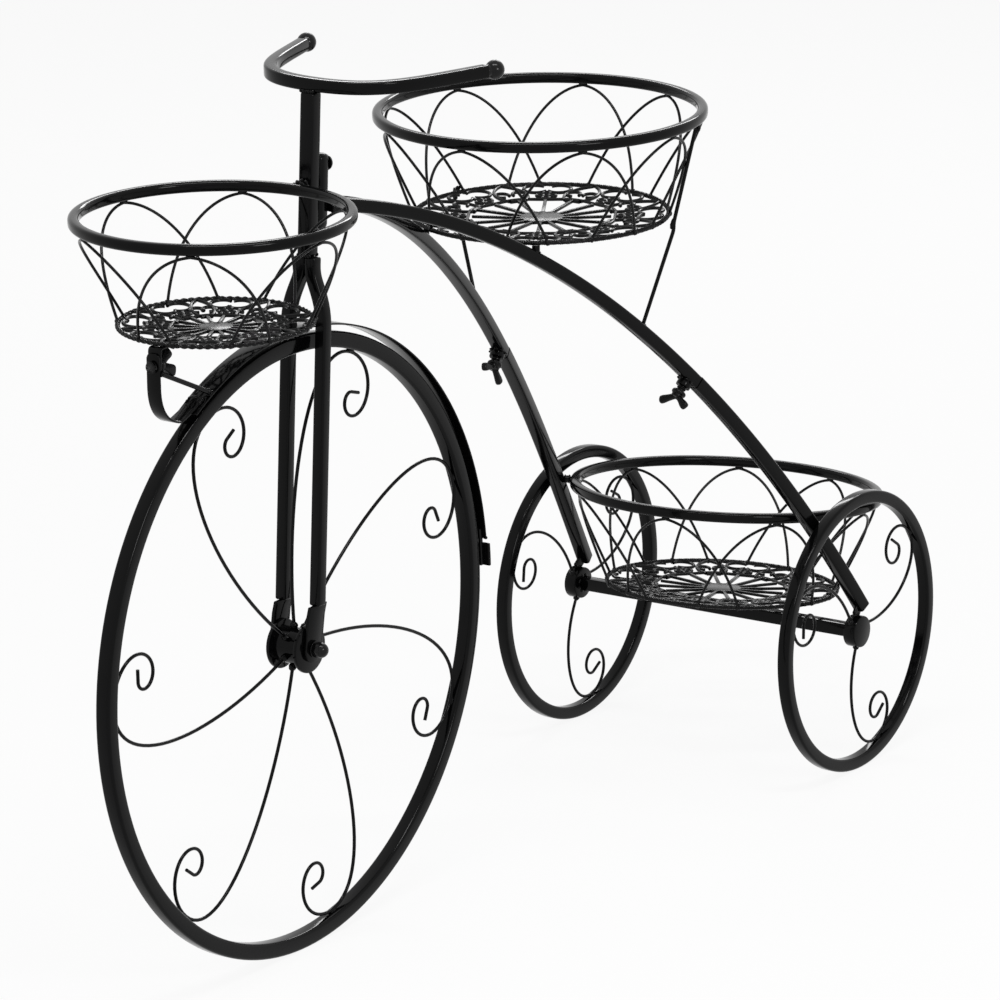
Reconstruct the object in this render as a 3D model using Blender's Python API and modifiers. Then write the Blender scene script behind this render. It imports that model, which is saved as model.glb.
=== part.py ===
"""Tricycle plant stand: a black wire and square-tube tricycle that carries three round baskets.

Metres, +Z up. The front wheel points along -Y and touches the ground at the origin.
+X is the stand's left side. Every named object is one closed solid.
"""
import math

import bmesh
import bpy
from mathutils import Matrix, Vector

for old in list(bpy.data.objects):
    bpy.data.objects.remove(old, do_unlink=True)

# Clearance between two pieces that touch or are welded on the real stand,
# and how far a cutter runs past the wall that it cuts.
fit_gap = 0.0003
cut_overrun = 0.002
merge_distance = 0.00002

# Front wheel.
front_radius = 0.230
front_tube = 0.012
front_corner = 0.0018
spoke_degs = (117.0, 73.0, 21.0, -26.0, -79.0, -128.5, -183.5)
spoke_wire = 0.0026
hub_flange_radius = 0.018
hub_barrel_radius = 0.0135
hub_length = 0.0195
hub_flange = 0.0028
axle_radius = 0.003
axle_clearance = 0.0003
axle_nut_grip = 0.005

# One front spoke: a belly from hub to rim, then a scroll that tightens each quarter turn.
front_belly_out = 0.0500
front_belly_up = 0.1050
front_shoulder = 0.0535
spoke_root_shift = 0.0060
front_scroll_radius = 0.0365
scroll_shrink_share = 0.60
scroll_turn_deg = 405.0

# Rear wheels.
rear_radius = 0.1125
rear_tube = 0.010
rear_half_track = 0.1312
rear_axle_y = 0.5680
left_spoke_degs = (37.0, 158.0, 288.0)
right_spoke_degs = (40.0, 154.0, 280.0)
rear_spoke_wire = 0.0024
rear_hub_radius = 0.012
rear_hub_length = 0.012
rear_hub_bevel = 0.0012
rear_root_sink = 0.0015
rear_root_shift = 0.0040
rear_belly_out = 0.0380
rear_belly_up = 0.0470
rear_shoulder = 0.0310
rear_scroll_radius = 0.0265
rear_axle_tube = 0.010
rear_axle_wall = 0.0012

# Fork and stem. Heights run up the raked fork line from the height of the axle.
fork_rake_deg = 4.3
fork_set_back = 0.005
leg_tube = 0.008
leg_half_spread = 0.0152
leg_bottom = 0.031
leg_shoulder = 0.2440
leg_crown = 0.270
stem_bottom = 0.285
stem_top = 0.4035
stem_tube = 0.0115
stem_corner = 0.0014
dropout_width = 0.018
dropout_thickness = 0.003
dropout_overlap = 0.006
dropout_foot = 0.010
cap_nut_across = 0.0116
cap_nut_height = 0.0050
cap_nut_radius = 0.0048
cap_nut_sink = 0.0010
cap_nut_dome = 0.0052

# Handlebar: control points of one half, from the stem to the end of one grip.
# The left grip hangs a little lower than the right one.
bar_tube = 0.0095
bar_reach = 0.0645
bar_elbow_out = 0.0985
bar_elbow_back = 0.1130
bar_elbow_drop_left = 0.0090
bar_elbow_drop_right = 0.0050
bar_end_out = 0.0895
bar_end_back = 0.1090
bar_end_drop_left = 0.0075
bar_end_drop_right = 0.0015
grip_ball_radius = 0.0074
grip_neck_radius = 0.0044
grip_neck_length = 0.003
grip_centre_share = 0.80

# Fender, the tab that holds its rear end, and the bracket under the front basket.
fender_gap = 0.0045
fender_thickness = 0.0013
fender_width = 0.0165
fender_front_deg = 121.0
fender_rear_deg = 5.0
tab_width = 0.0118
tab_front_deg = 9.5
tab_rear_deg = -1.5
rivet_radius = 0.0034
rivet_height = 0.0022
rivet_tip_share = 0.55
bracket_width = 0.0115
bracket_thickness = 0.0015
bracket_y = -0.1580
bracket_top_z = 0.4830
bracket_bend_z = 0.4570
bracket_low_y = -0.1350
bracket_low_z = 0.4290
bracket_end_deg = 117.0
bracket_curve_shares = ((0.03, 0.28), (0.38, 0.70))
strut_wire = 0.0030
strut_top_z = 0.4625
strut_foot_deg = 115.5
strut_boss_radius = 0.0030
strut_boss_height = 0.0040

# Baskets.
basket_tube = 0.008
cage_wire = 0.0022
floor_wire = 0.0034
weave_step = 0.00045
foot_past_middle_share = 0.55
floor_disc_share = 0.178
floor_middle_share = 0.65
floor_bar_count = 8
floor_loop_count = 8
floor_bar_width = 0.0024
floor_bar_height = 0.0020
floor_disc_height = 0.0026
floor_middle_wire = 0.0028
floor_loop_wire = 0.0024

top_y = 0.3270
top_z = 0.5655
top_ring_radius = 0.1260
top_floor_radius = 0.0975
top_depth = 0.0836
top_arches = 9
top_turn_deg = 3.4

low_y = 0.5862
low_z = 0.2090
low_ring_radius = 0.1250
low_floor_radius = 0.0935
low_depth = 0.0830
low_arches = 9
low_turn_deg = 7.0
low_tilt_deg = -6.0

front_y = -0.0848
front_z = 0.5690
front_ring_radius = 0.1014
front_floor_radius = 0.0705
front_depth = 0.0815
front_arches = 6
front_turn_deg = 25.5

# Basket fittings.
ring_spacer_radius = 0.0040
tab_plate_thickness = 0.0018
tab_plate_width = 0.0165
tab_plate_drop = 0.0190
tab_plate_length = 0.0370
basket_bolt_radius = 0.0025
basket_bolt_z = 0.4735
basket_bolt_head = 0.0050
basket_bolt_dome = 0.0030
basket_bolt_tail = 0.0030
basket_leg_wire = 0.0030
basket_leg_turn_deg = 16.4
basket_leg_top_out = 0.1136
basket_leg_top_drop = 0.0400
basket_leg_hoop_out = 0.1030
basket_leg_hoop_drop = 0.0834
basket_leg_share = 0.4850
basket_post_radius = 0.0030
basket_post_share = 0.3040
rod_clearance_share = 0.024
low_tie_radius = 0.0030
low_tie_turn_deg = -28.0
tie_clearance_start_share = 0.80
tie_clearance_stop_share = 0.92

# Frame: control points of the left tube's centre line, from the head to the rear hub.
frame_tube = 0.010
frame_wall = 0.0012
lower_tube = 0.0106
frame_head_out = 0.0056
frame_head_y = 0.0463
frame_head_z = 0.5480
frame_reach_out = 0.0520
frame_reach_y = 0.2850
frame_reach_z = 0.5050
frame_drop_out = 0.1070
frame_drop_y = 0.4560
frame_drop_z = 0.3090
frame_foot_out = 0.1302
frame_foot_y = 0.5768
frame_foot_z = 0.1300
frame_joint_share = 0.590
frame_joint_gap_share = 0.0006
insert_half_share = 0.050
bore_extra_share = 0.004
insert_slack = 0.0004
head_width = 0.0120
head_depth = 0.0105
head_bottom = 0.303
head_top = 0.358
head_bolt_height = 0.350
head_bolt_radius = 0.0060
head_bolt_dome = 0.0042
hub_tab_width = 0.0070
hub_tab_thickness = 0.0022
hub_tab_overlap = 0.0020

# Wing bolts under the frame joints, and the wing nut of the front basket.
# The wing shares are (sideways of half the span, outwards of the rise) of one wing.
wing_bolt_back = 0.009
wing_lean_x_share = -0.153
wing_lean_y_share = -0.677
wing_lean_z_share = -0.720
weld_nut_radius = 0.0058
weld_nut_height = 0.0055
wing_shank_radius = 0.0026
wing_clearance = 0.0003
wing_neck_length = 0.0030
wing_hub_radius = 0.0046
wing_hub_height = 0.0070
wing_half_span = 0.0130
wing_rise = 0.0125
wing_thickness = 0.0026
nut_wing_half_span = 0.0112
nut_wing_rise = 0.0100
nut_hub_height = 0.0060
nut_wing_overlap_share = 0.50
wing_outline_shares = (
    (0.0, 0.0), (0.35, 0.0), (0.70, 0.25), (0.92, 0.55), (1.0, 0.85),
    (0.93, 1.0), (0.75, 1.0), (0.55, 0.80), (0.38, 0.62), (0.0, 0.55),
)

# Facets.
front_steps = 60
fender_steps = 30
tab_steps = 4
bar_points = 12
rear_steps = 40
ring_steps = 40
hoop_steps = 36
middle_hoop_steps = 24
loop_steps = 8
disc_steps = 16
hub_steps = 16
pin_sides = 12
arch_half_points = 4
belly_points = 8
scroll_step_deg = 45.0
tube_points = 11
dome_steps = 3

part_collection = bpy.data.collections.new("tricycle_plant_stand")
bpy.context.scene.collection.children.link(part_collection)
cutter_collection = bpy.data.collections.new("cutters")
bpy.context.scene.collection.children.link(cutter_collection)

steel_black = (0.011, 0.011, 0.012, 1.0)
plastic_black = (0.014, 0.014, 0.015, 1.0)


def coat(name, colour, roughness=0.28, metallic=0.0):
    material = bpy.data.materials.new(name + "_coat")
    material.use_nodes = True
    shader = material.node_tree.nodes["Principled BSDF"]
    shader.inputs["Base Color"].default_value = colour
    shader.inputs["Roughness"].default_value = roughness
    shader.inputs["Metallic"].default_value = metallic
    return material


def add_object(name, data, place=None):
    piece = bpy.data.objects.new(name, data)
    part_collection.objects.link(piece)
    if place is not None:
        piece.matrix_world = place
    colour = plastic_black if name.startswith("grip_") else steel_black
    piece.data.materials.append(coat(name, colour))
    return piece


def make_cutter(piece):
    part_collection.objects.unlink(piece)
    cutter_collection.objects.link(piece)
    piece.hide_render = True
    piece.display_type = "WIRE"
    return piece


def cut(piece, cutter, operation="DIFFERENCE"):
    make_cutter(cutter)
    modifier = piece.modifiers.new(cutter.name, "BOOLEAN")
    modifier.operation = operation
    modifier.object = cutter
    return piece


def fuse(piece, others):
    """Join several overlapping pieces into one solid."""
    group = bpy.data.collections.new(piece.name + "_fused")
    cutter_collection.children.link(group)
    for other in others:
        make_cutter(other)
        cutter_collection.objects.unlink(other)
        group.objects.link(other)
    modifier = piece.modifiers.new("fuse", "BOOLEAN")
    modifier.operation = "UNION"
    modifier.operand_type = "COLLECTION"
    modifier.collection = group
    return piece


def smooth(piece, angle_deg=35.0):
    piece.data.shade_smooth()
    piece.data.set_sharp_from_angle(angle=math.radians(angle_deg))
    return piece


def as_mesh(piece):
    """Turn a curve object into a mesh object with welded caps."""
    bpy.context.view_layer.update()
    evaluated = piece.evaluated_get(bpy.context.evaluated_depsgraph_get())
    mesh = bpy.data.meshes.new_from_object(evaluated)
    place = piece.matrix_world.copy()
    name = piece.name
    bpy.data.objects.remove(piece, do_unlink=True)
    work = bmesh.new()
    work.from_mesh(mesh)
    bmesh.ops.remove_doubles(work, verts=work.verts, dist=merge_distance)
    bmesh.ops.recalc_face_normals(work, faces=work.faces)
    work.to_mesh(mesh)
    work.free()
    mesh.materials.clear()
    return add_object(name, mesh, place)


def wire(name, points, radius, sides=6, closed=False, place=None):
    """A round wire or, with 4 sides, a square bar through the points."""
    curve = bpy.data.curves.new(name, "CURVE")
    curve.dimensions = "3D"
    curve.bevel_resolution = (sides - 4) // 2
    curve.use_fill_caps = True
    curve.bevel_depth = radius
    if sides == 4:
        curve.bevel_depth = radius * math.sqrt(2)
        curve.twist_mode = "Z_UP"
    spline = curve.splines.new("POLY")
    spline.points.add(len(points) - 1)
    for point, at in zip(spline.points, points):
        point.co = (*at, 1.0)
        if sides == 4:
            point.tilt = math.radians(45)
    spline.use_cyclic_u = closed
    piece = add_object(name, curve, place)
    return as_mesh(piece)


def plate(name, outline, thickness, place):
    """A flat outline in the local XY plane, given its thickness along local Z."""
    curve = bpy.data.curves.new(name, "CURVE")
    curve.dimensions = "2D"
    curve.fill_mode = "BOTH"
    curve.extrude = thickness / 2
    spline = curve.splines.new("POLY")
    spline.points.add(len(outline) - 1)
    for point, at in zip(spline.points, outline):
        point.co = (at[0], at[1], 0.0, 1.0)
    spline.use_cyclic_u = True
    return as_mesh(add_object(name, curve, place))


def strip_outline(path, thickness):
    """Outline of a strip of even thickness whose middle follows a flat path."""
    left, right = [], []
    for index, at in enumerate(path):
        here = Vector(at)
        before = Vector(path[max(index - 1, 0)])
        after = Vector(path[min(index + 1, len(path) - 1)])
        ahead = (after - here).normalized() if index < len(path) - 1 else (here - before).normalized()
        behind = (here - before).normalized() if index > 0 else ahead
        along = (ahead + behind).normalized()
        across = Vector((-along.y, along.x)) * (thickness / 2) / max(along.dot(ahead), 0.5)
        left.append(here + across)
        right.append(here - across)
    return left + right[::-1]


def box(name, size, place):
    work = bmesh.new()
    bmesh.ops.create_cube(work, size=1.0)
    bmesh.ops.scale(work, vec=size, verts=work.verts)
    mesh = bpy.data.meshes.new(name)
    work.to_mesh(mesh)
    work.free()
    return add_object(name, mesh, place)


def pin(name, radius, length, place, sides=pin_sides, tip_radius=None):
    """A cylinder or cone centred on its place, along local Z."""
    work = bmesh.new()
    top = radius if tip_radius is None else tip_radius
    bmesh.ops.create_cone(
        work, cap_ends=True, segments=sides, radius1=radius, radius2=top, depth=length,
    )
    mesh = bpy.data.meshes.new(name)
    work.to_mesh(mesh)
    work.free()
    return add_object(name, mesh, place)


def ball(name, radius, place, around=12, rings=8):
    work = bmesh.new()
    bmesh.ops.create_uvsphere(work, u_segments=around, v_segments=rings, radius=radius)
    mesh = bpy.data.meshes.new(name)
    work.to_mesh(mesh)
    work.free()
    return add_object(name, mesh, place)


def dome(name, radius, height, place, steps=pin_sides):
    """A round button head: flat seat at local Z = 0, dome above it."""
    profile = []
    for index in range(dome_steps + 1):
        angle = math.pi / 2 * (1 - index / dome_steps)
        profile.append((radius * math.cos(angle), height * math.sin(angle)))
    profile[0] = (0.0, height)
    profile.append((0.0, 0.0))
    return turned(name, profile, steps, place, False)


def hoop(name, radius, wire_radius, place, steps, sides):
    """A ring of round wire in the local XY plane."""
    turn = 2 * math.pi / steps
    points = []
    for index in range(steps):
        points.append((radius * math.cos(turn * index), radius * math.sin(turn * index), 0.0))
    return wire(name, points, wire_radius, sides, True, place)


def turned(name, profile, steps, place, closed):
    """A profile of (radius, height) pairs, listed from top to bottom, turned about local Z."""
    mesh = bpy.data.meshes.new(name)
    verts = [(radius, 0.0, height) for radius, height in profile]
    edges = [(index, index + 1) for index in range(len(verts) - 1)]
    if closed:
        edges.append((len(verts) - 1, 0))
    mesh.from_pydata(verts, edges, [])
    piece = add_object(name, mesh, place)
    screw = piece.modifiers.new("turn", "SCREW")
    screw.axis = "Z"
    screw.angle = 2 * math.pi
    screw.steps = steps
    screw.render_steps = steps
    screw.use_merge_vertices = True
    screw.merge_threshold = merge_distance
    screw.use_smooth_shade = True
    return piece


def square_profile(outer, height, side, corner=0.0):
    """Section of a square tube, its corners cut if asked, whose outer wall lies at the outer radius."""
    inner = outer - side
    top = height + side / 2
    bottom = height - side / 2
    if corner == 0.0:
        return [(outer, top), (outer, bottom), (inner, bottom), (inner, top)]
    return [
        (outer - corner, top), (outer, top - corner), (outer, bottom + corner), (outer - corner, bottom),
        (inner + corner, bottom), (inner, bottom + corner), (inner, top - corner), (inner + corner, top),
    ]


def aim(at, direction, side=Vector((1.0, 0.0, 0.0))):
    """Place whose local Z runs along the direction and whose local X lies nearest to the side."""
    up = direction.normalized()
    across = (side - up * side.dot(up)).normalized()
    other = up.cross(across)
    turn = Matrix((across, other, up)).transposed().to_4x4()
    return Matrix.Translation(at) @ turn


def bezier(ends, share):
    first = [ends[index].lerp(ends[index + 1], share) for index in range(3)]
    second = [first[index].lerp(first[index + 1], share) for index in range(2)]
    return second[0].lerp(second[1], share)


def bezier_points(ends, start, stop, count):
    shares = [start + (stop - start) * index / (count - 1) for index in range(count)]
    return [bezier(ends, share) for share in shares]


# The facets of each wheel's rim are turned so that one lies flat on the floor.
front_axle_z = front_radius * math.cos(math.pi / front_steps)
rear_axle_z = rear_radius * math.cos(math.pi / rear_steps)

x_axis = Vector((1.0, 0.0, 0.0))
y_axis = Vector((0.0, 1.0, 0.0))
z_axis = Vector((0.0, 0.0, 1.0))

# Local X of a wheel place points to the rear, local Y up, local Z to the left.
wheel_turn = Matrix((y_axis, z_axis, x_axis)).transposed().to_4x4()
front_place = Matrix.Translation((0.0, 0.0, front_axle_z)) @ wheel_turn
front_facet_turn = Matrix.Rotation(math.pi / front_steps, 4, "Z")
rear_facet_turn = Matrix.Rotation(math.pi / rear_steps, 4, "Z")


def polar(radius, angle_deg):
    angle = math.radians(angle_deg)
    return Vector((radius * math.cos(angle), radius * math.sin(angle)))


def spoke_path(reach, root, root_shift, belly_out, belly_up, shoulder, scroll_radius):
    """One spoke with its contact point straight above the hub: (sideways, upwards) pairs."""
    ends = [
        Vector((root_shift, root, 0.0)), Vector((belly_out, belly_up, 0.0)),
        Vector((shoulder, reach, 0.0)), Vector((0.0, reach, 0.0)),
    ]
    path = [Vector((at.x, at.y)) for at in bezier_points(ends, 0.0, 1.0, belly_points)]
    turns = round(scroll_turn_deg / scroll_step_deg)
    step_deg = scroll_turn_deg / turns
    for index in range(turns):
        middle_deg = (index + 0.5) * step_deg
        radius = scroll_radius * scroll_shrink_share ** (middle_deg / 90)
        chord = 2 * radius * math.sin(math.radians(step_deg) / 2)
        path.append(path[-1] + polar(chord, 180 + middle_deg))
    return path


def add_spokes(prefix, spoke_turns, hand, path, radius, place):
    """Copies of one spoke, each turned to its own angle. A negative hand mirrors the spoke."""
    spokes = []
    for index, turn_deg in enumerate(spoke_turns):
        turn = math.radians(turn_deg)
        points = []
        for at in path:
            side = at.x * hand
            x = at.y * math.cos(turn) - side * math.sin(turn)
            y = at.y * math.sin(turn) + side * math.cos(turn)
            points.append((x, y, 0.0))
        spokes.append(smooth(wire("%s_%d" % (prefix, index + 1), points, radius, 6, False, place)))
    return spokes


# Front wheel.
rim_profile = square_profile(front_radius, 0.0, front_tube, front_corner)
turned("front_rim", rim_profile, front_steps, front_place @ front_facet_turn, True)
hub_half = hub_length / 2
flange_inner = hub_half - hub_flange
bore_radius = axle_radius + axle_clearance
turned(
    "front_hub",
    [
        (bore_radius, hub_half), (hub_flange_radius, hub_half), (hub_flange_radius, flange_inner),
        (hub_barrel_radius, flange_inner), (hub_barrel_radius, -flange_inner),
        (hub_flange_radius, -flange_inner), (hub_flange_radius, -hub_half), (bore_radius, -hub_half),
    ],
    hub_steps, front_place, True,
)
front_contact = front_radius - front_tube - fit_gap - spoke_wire / 2
root_side = spoke_root_shift - spoke_wire / 2
front_root = math.sqrt(hub_barrel_radius ** 2 - root_side ** 2) + fit_gap
front_spoke = spoke_path(
    front_contact, front_root, spoke_root_shift, front_belly_out, front_belly_up,
    front_shoulder, front_scroll_radius,
)
add_spokes("front_spoke", spoke_degs, 1, front_spoke, spoke_wire / 2, front_place)

# Fork: legs, dropouts, axle bolt and cap nuts.
rake = math.radians(fork_rake_deg)
fork_up = Vector((0.0, math.sin(rake), math.cos(rake)))
fork_back = Vector((0.0, math.cos(rake), -math.sin(rake)))
fork_base = Vector((0.0, fork_set_back, front_axle_z))


def on_fork(height, out=0.0, back=0.0):
    return fork_base + fork_up * height + x_axis * out + fork_back * back


# Local X of the fork place points left, local Y up the fork, local Z forward.
fork_place = Matrix.Translation(fork_base) @ Matrix((x_axis, fork_up, -fork_back)).transposed().to_4x4()
crown_out = leg_tube / 2 + fit_gap / 2
for side, name in ((1, "left"), (-1, "right")):
    leg_path = [
        (side * leg_half_spread, leg_bottom), (side * leg_half_spread, leg_shoulder),
        (side * crown_out, leg_crown), (side * crown_out, stem_bottom - fit_gap),
    ]
    plate("fork_leg_" + name, strip_outline(leg_path, leg_tube), leg_tube, fork_place)

    plate_out = leg_half_spread + leg_tube / 2 + fit_gap + dropout_thickness / 2
    plate_top = on_fork(leg_bottom + dropout_overlap)
    half = dropout_width / 2
    outline = []
    for step in range(7):
        foot = polar(half, -180 + 30 * step)
        outline.append((foot.x, foot.y))
    top_y_here = plate_top.y
    top_rise = plate_top.z - front_axle_z
    outline.append((top_y_here + half, top_rise))
    outline.append((top_y_here - half, top_rise))
    place = Matrix.Translation((side * plate_out, 0.0, front_axle_z)) @ wheel_turn
    dropout = plate("dropout_" + name, outline, dropout_thickness, place)
    hole = pin("axle_hole_" + name, bore_radius, dropout_thickness + 2 * cut_overrun, place)
    cut(dropout, hole)

plate_face = leg_half_spread + leg_tube / 2 + fit_gap + dropout_thickness
axle_half_length = plate_face + fit_gap + axle_nut_grip
pin("front_axle_bolt", axle_radius, 2 * axle_half_length, front_place, hub_steps)
for side, name in ((1, "left"), (-1, "right")):
    outward = Vector((side, 0.0, 0.0))
    seat = Vector((side * (plate_face + fit_gap), 0.0, front_axle_z))
    nut_place = aim(seat + outward * cap_nut_height / 2, outward, z_axis)
    nut = pin("axle_nut_" + name, cap_nut_across / 2, cap_nut_height, nut_place, 6)
    dome_root = seat + outward * (cap_nut_height - cap_nut_sink)
    cap = dome("axle_nut_dome_" + name, cap_nut_radius, cap_nut_dome, aim(dome_root, outward, z_axis))
    cut(nut, cap, "UNION")
    bore_length = axle_nut_grip + fit_gap + cut_overrun
    bore_at = seat + outward * (bore_length / 2 - cut_overrun)
    cut(nut, pin("axle_nut_bore_" + name, bore_radius, bore_length, aim(bore_at, outward, z_axis)))

# Stem and handlebar.
stem_length = stem_top - stem_bottom
stem_middle = on_fork(stem_bottom + stem_length / 2)
stem = box("stem", (stem_tube, stem_tube, stem_length), aim(stem_middle, fork_up))
bevel = stem.modifiers.new("corners", "BEVEL")
bevel.width = stem_corner
bevel.segments = 2

stem_corner_rise = stem_tube / 2 * math.sin(rake)
bar_middle = on_fork(stem_top) + z_axis * (stem_corner_rise + fit_gap + bar_tube / 2)


def half_bar(side, elbow_drop, end_drop):
    ends = [
        bar_middle,
        bar_middle + Vector((side * bar_reach, 0.0, 0.0)),
        bar_middle + Vector((side * bar_elbow_out, bar_elbow_back, -elbow_drop)),
        bar_middle + Vector((side * bar_end_out, bar_end_back, -end_drop)),
    ]
    return bezier_points(ends, 0.0, 1.0, bar_points)


left_points = half_bar(1, bar_elbow_drop_left, bar_end_drop_left)
right_points = half_bar(-1, bar_elbow_drop_right, bar_end_drop_right)
wire("handlebar", right_points[:0:-1] + left_points, bar_tube / 2, 4)
for points, name in ((left_points, "left"), (right_points, "right")):
    end = points[-1]
    along = (points[-1] - points[-2]).normalized()
    centre_out = grip_neck_length + grip_ball_radius * grip_centre_share
    knob = ball("grip_ball_" + name, grip_ball_radius, aim(end + along * (fit_gap + centre_out), along))
    neck = pin(
        "grip_neck_" + name, grip_neck_radius, centre_out,
        aim(end + along * (fit_gap + centre_out / 2), along),
    )
    cut(knob, neck, "UNION")
    smooth(knob)

# Fender, rear tab, rivet.
fender_inner = front_radius + fender_gap
fender_middle = fender_inner + fender_thickness / 2
fender_path = []
for index in range(fender_steps + 1):
    angle = fender_rear_deg + (fender_front_deg - fender_rear_deg) * index / fender_steps
    fender_path.append(polar(fender_middle, angle))
plate("fender", strip_outline(fender_path, fender_thickness), fender_width, front_place)
tab_height = fender_gap - 2 * fit_gap
tab_path = []
for index in range(tab_steps + 1):
    angle = tab_rear_deg + (tab_front_deg - tab_rear_deg) * index / tab_steps
    tab_path.append(polar(front_radius + fit_gap + tab_height / 2, angle))
plate("fender_tab", strip_outline(tab_path, tab_height), tab_width, front_place)
rivet_deg = (fender_rear_deg + tab_front_deg) / 2
rivet_out = polar(1.0, rivet_deg)
rivet_up = Vector((0.0, rivet_out.x, rivet_out.y))
rivet_seat = Vector((0.0, 0.0, front_axle_z)) + rivet_up * (fender_middle + fender_thickness / 2 + fit_gap)
rivet_place = aim(rivet_seat + rivet_up * rivet_height / 2, rivet_up)
pin("fender_rivet", rivet_radius, rivet_height, rivet_place, pin_sides, rivet_radius * rivet_tip_share)


def basket(name, y, z, ring_radius, floor_radius, depth, arches, turn_deg, tilt_deg):
    """A square-tube ring, a cage of crossing arches on a floor hoop, and a filigree floor."""
    place = Matrix.Translation((0.0, y, z)) @ Matrix.Rotation(math.radians(tilt_deg), 4, "X")
    ring_profile = square_profile(ring_radius, -basket_tube / 2, basket_tube)
    turned(name + "_ring", ring_profile, ring_steps, place, True)

    wire_radius = cage_wire / 2
    hoop_radius = floor_radius - floor_wire / 2
    floor_z = -depth + floor_wire / 2
    top_radius = ring_radius - basket_tube / 2
    top_z = -basket_tube - fit_gap - wire_radius
    foot_deg = 180 / arches * (1 + foot_past_middle_share)
    floor_place = place @ Matrix.Translation((0.0, 0.0, floor_z))
    cage = hoop(name + "_cage", hoop_radius, floor_wire / 2, floor_place, hoop_steps, 4)
    legs = []
    for arch in range(arches):
        middle_deg = turn_deg + 360 * arch / arches
        points = []
        for index in range(-arch_half_points, arch_half_points + 1):
            share = index / arch_half_points
            drop = share ** 2
            radius = top_radius + (hoop_radius - top_radius) * drop
            radius += weave_step * max(-1.0, min(1.0, 2 * share))
            at = polar(radius, middle_deg + share * foot_deg - 90)
            points.append((at.x, at.y, top_z + (floor_z - top_z) * drop))
        legs.append(wire("%s_arch_%d" % (name, arch + 1), points, wire_radius, 4, False, place))
    fuse(cage, legs)

    disc_radius = floor_radius * floor_disc_share
    middle_radius = floor_radius * floor_middle_share
    free_radius = floor_radius - floor_wire - fit_gap
    loop_radius = (free_radius - floor_loop_wire / 2 - middle_radius) / 2
    floor = pin(name + "_floor", disc_radius, floor_disc_height, floor_place, disc_steps)
    middle_wire = floor_middle_wire / 2
    pieces = [hoop(name + "_middle_hoop", middle_radius, middle_wire, floor_place, middle_hoop_steps, 4)]
    for index in range(floor_bar_count):
        spin = Matrix.Rotation(math.pi * index / floor_bar_count, 4, "Z")
        size = (2 * middle_radius, floor_bar_width, floor_bar_height)
        pieces.append(box("%s_bar_%d" % (name, index + 1), size, floor_place @ spin))
    for index in range(floor_loop_count):
        spin = Matrix.Rotation(2 * math.pi * (index + 0.5) / floor_loop_count, 4, "Z")
        shift = Matrix.Translation((middle_radius + loop_radius, 0.0, 0.0))
        loop_place = floor_place @ spin @ shift
        loop_name = "%s_loop_%d" % (name, index + 1)
        pieces.append(hoop(loop_name, loop_radius, floor_loop_wire / 2, loop_place, loop_steps, 4))
    fuse(floor, pieces)
    return place


top_place = basket(
    "top_basket", top_y, top_z, top_ring_radius, top_floor_radius, top_depth, top_arches, top_turn_deg, 0.0,
)
low_place = basket(
    "low_basket", low_y, low_z, low_ring_radius, low_floor_radius, low_depth, low_arches, low_turn_deg,
    low_tilt_deg,
)
front_basket_place = basket(
    "front_basket", front_y, front_z, front_ring_radius, front_floor_radius, front_depth, front_arches,
    front_turn_deg, 0.0,
)

# Rear wheels, hubs and axle tube.
hub_side = rear_hub_length / 2
rear_contact = rear_radius - rear_tube - fit_gap - rear_spoke_wire / 2
rear_spoke = spoke_path(
    rear_contact, rear_hub_radius - rear_root_sink, rear_root_shift, rear_belly_out, rear_belly_up,
    rear_shoulder, rear_scroll_radius,
)
for side, name, spoke_turns in ((1, "left", left_spoke_degs), (-1, "right", right_spoke_degs)):
    place = Matrix.Translation((side * rear_half_track, rear_axle_y, rear_axle_z)) @ wheel_turn
    profile = square_profile(rear_radius, 0.0, rear_tube)
    turned("rear_rim_" + name, profile, rear_steps, place @ rear_facet_turn, True)
    flat = rear_hub_radius - rear_hub_bevel
    edge = hub_side - rear_hub_bevel
    hub = turned(
        "rear_hub_" + name,
        [
            (0.0, hub_side), (flat, hub_side), (rear_hub_radius, edge),
            (rear_hub_radius, -edge), (flat, -hub_side), (0.0, -hub_side),
        ],
        hub_steps, place, False,
    )
    prefix = "rear_spoke_" + name
    wires = add_spokes(prefix, spoke_turns, -1, rear_spoke, rear_spoke_wire / 2, place)
    smooth(fuse(hub, wires))
axle_half = rear_half_track - hub_side - fit_gap
axle_place = Matrix.Translation((0.0, rear_axle_y, rear_axle_z))
axle = box("rear_axle_tube", (2 * axle_half, rear_axle_tube, rear_axle_tube), axle_place)
axle_bore = rear_axle_tube - 2 * rear_axle_wall
cut(axle, box("rear_axle_bore", (2 * (axle_half + cut_overrun), axle_bore, axle_bore), axle_place))

# Frame: a bolted head behind the stem, two upper tubes, and two lower tubes joined by inserts.
head_back = stem_tube / 2 + fit_gap + head_depth / 2
head_middle = on_fork((head_bottom + head_top) / 2, 0.0, head_back)
head = box("frame_head", (head_width, head_depth, head_top - head_bottom), aim(head_middle, fork_up))
bevel = head.modifiers.new("corners", "BEVEL")
bevel.width = stem_corner
bevel.segments = 2
bolt_seat = on_fork(head_bolt_height, 0.0, head_back + head_depth / 2 + fit_gap)
dome("head_bolt", head_bolt_radius, head_bolt_dome, aim(bolt_seat, fork_back), 16)


def frame_ends(side):
    return [
        Vector((side * frame_head_out, frame_head_y, frame_head_z)),
        Vector((side * frame_reach_out, frame_reach_y, frame_reach_z)),
        Vector((side * frame_drop_out, frame_drop_y, frame_drop_z)),
        Vector((side * frame_foot_out, frame_foot_y, frame_foot_z)),
    ]


def frame_direction(side, share):
    step = frame_joint_gap_share
    return (bezier(frame_ends(side), share + step) - bezier(frame_ends(side), share - step)).normalized()


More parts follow.
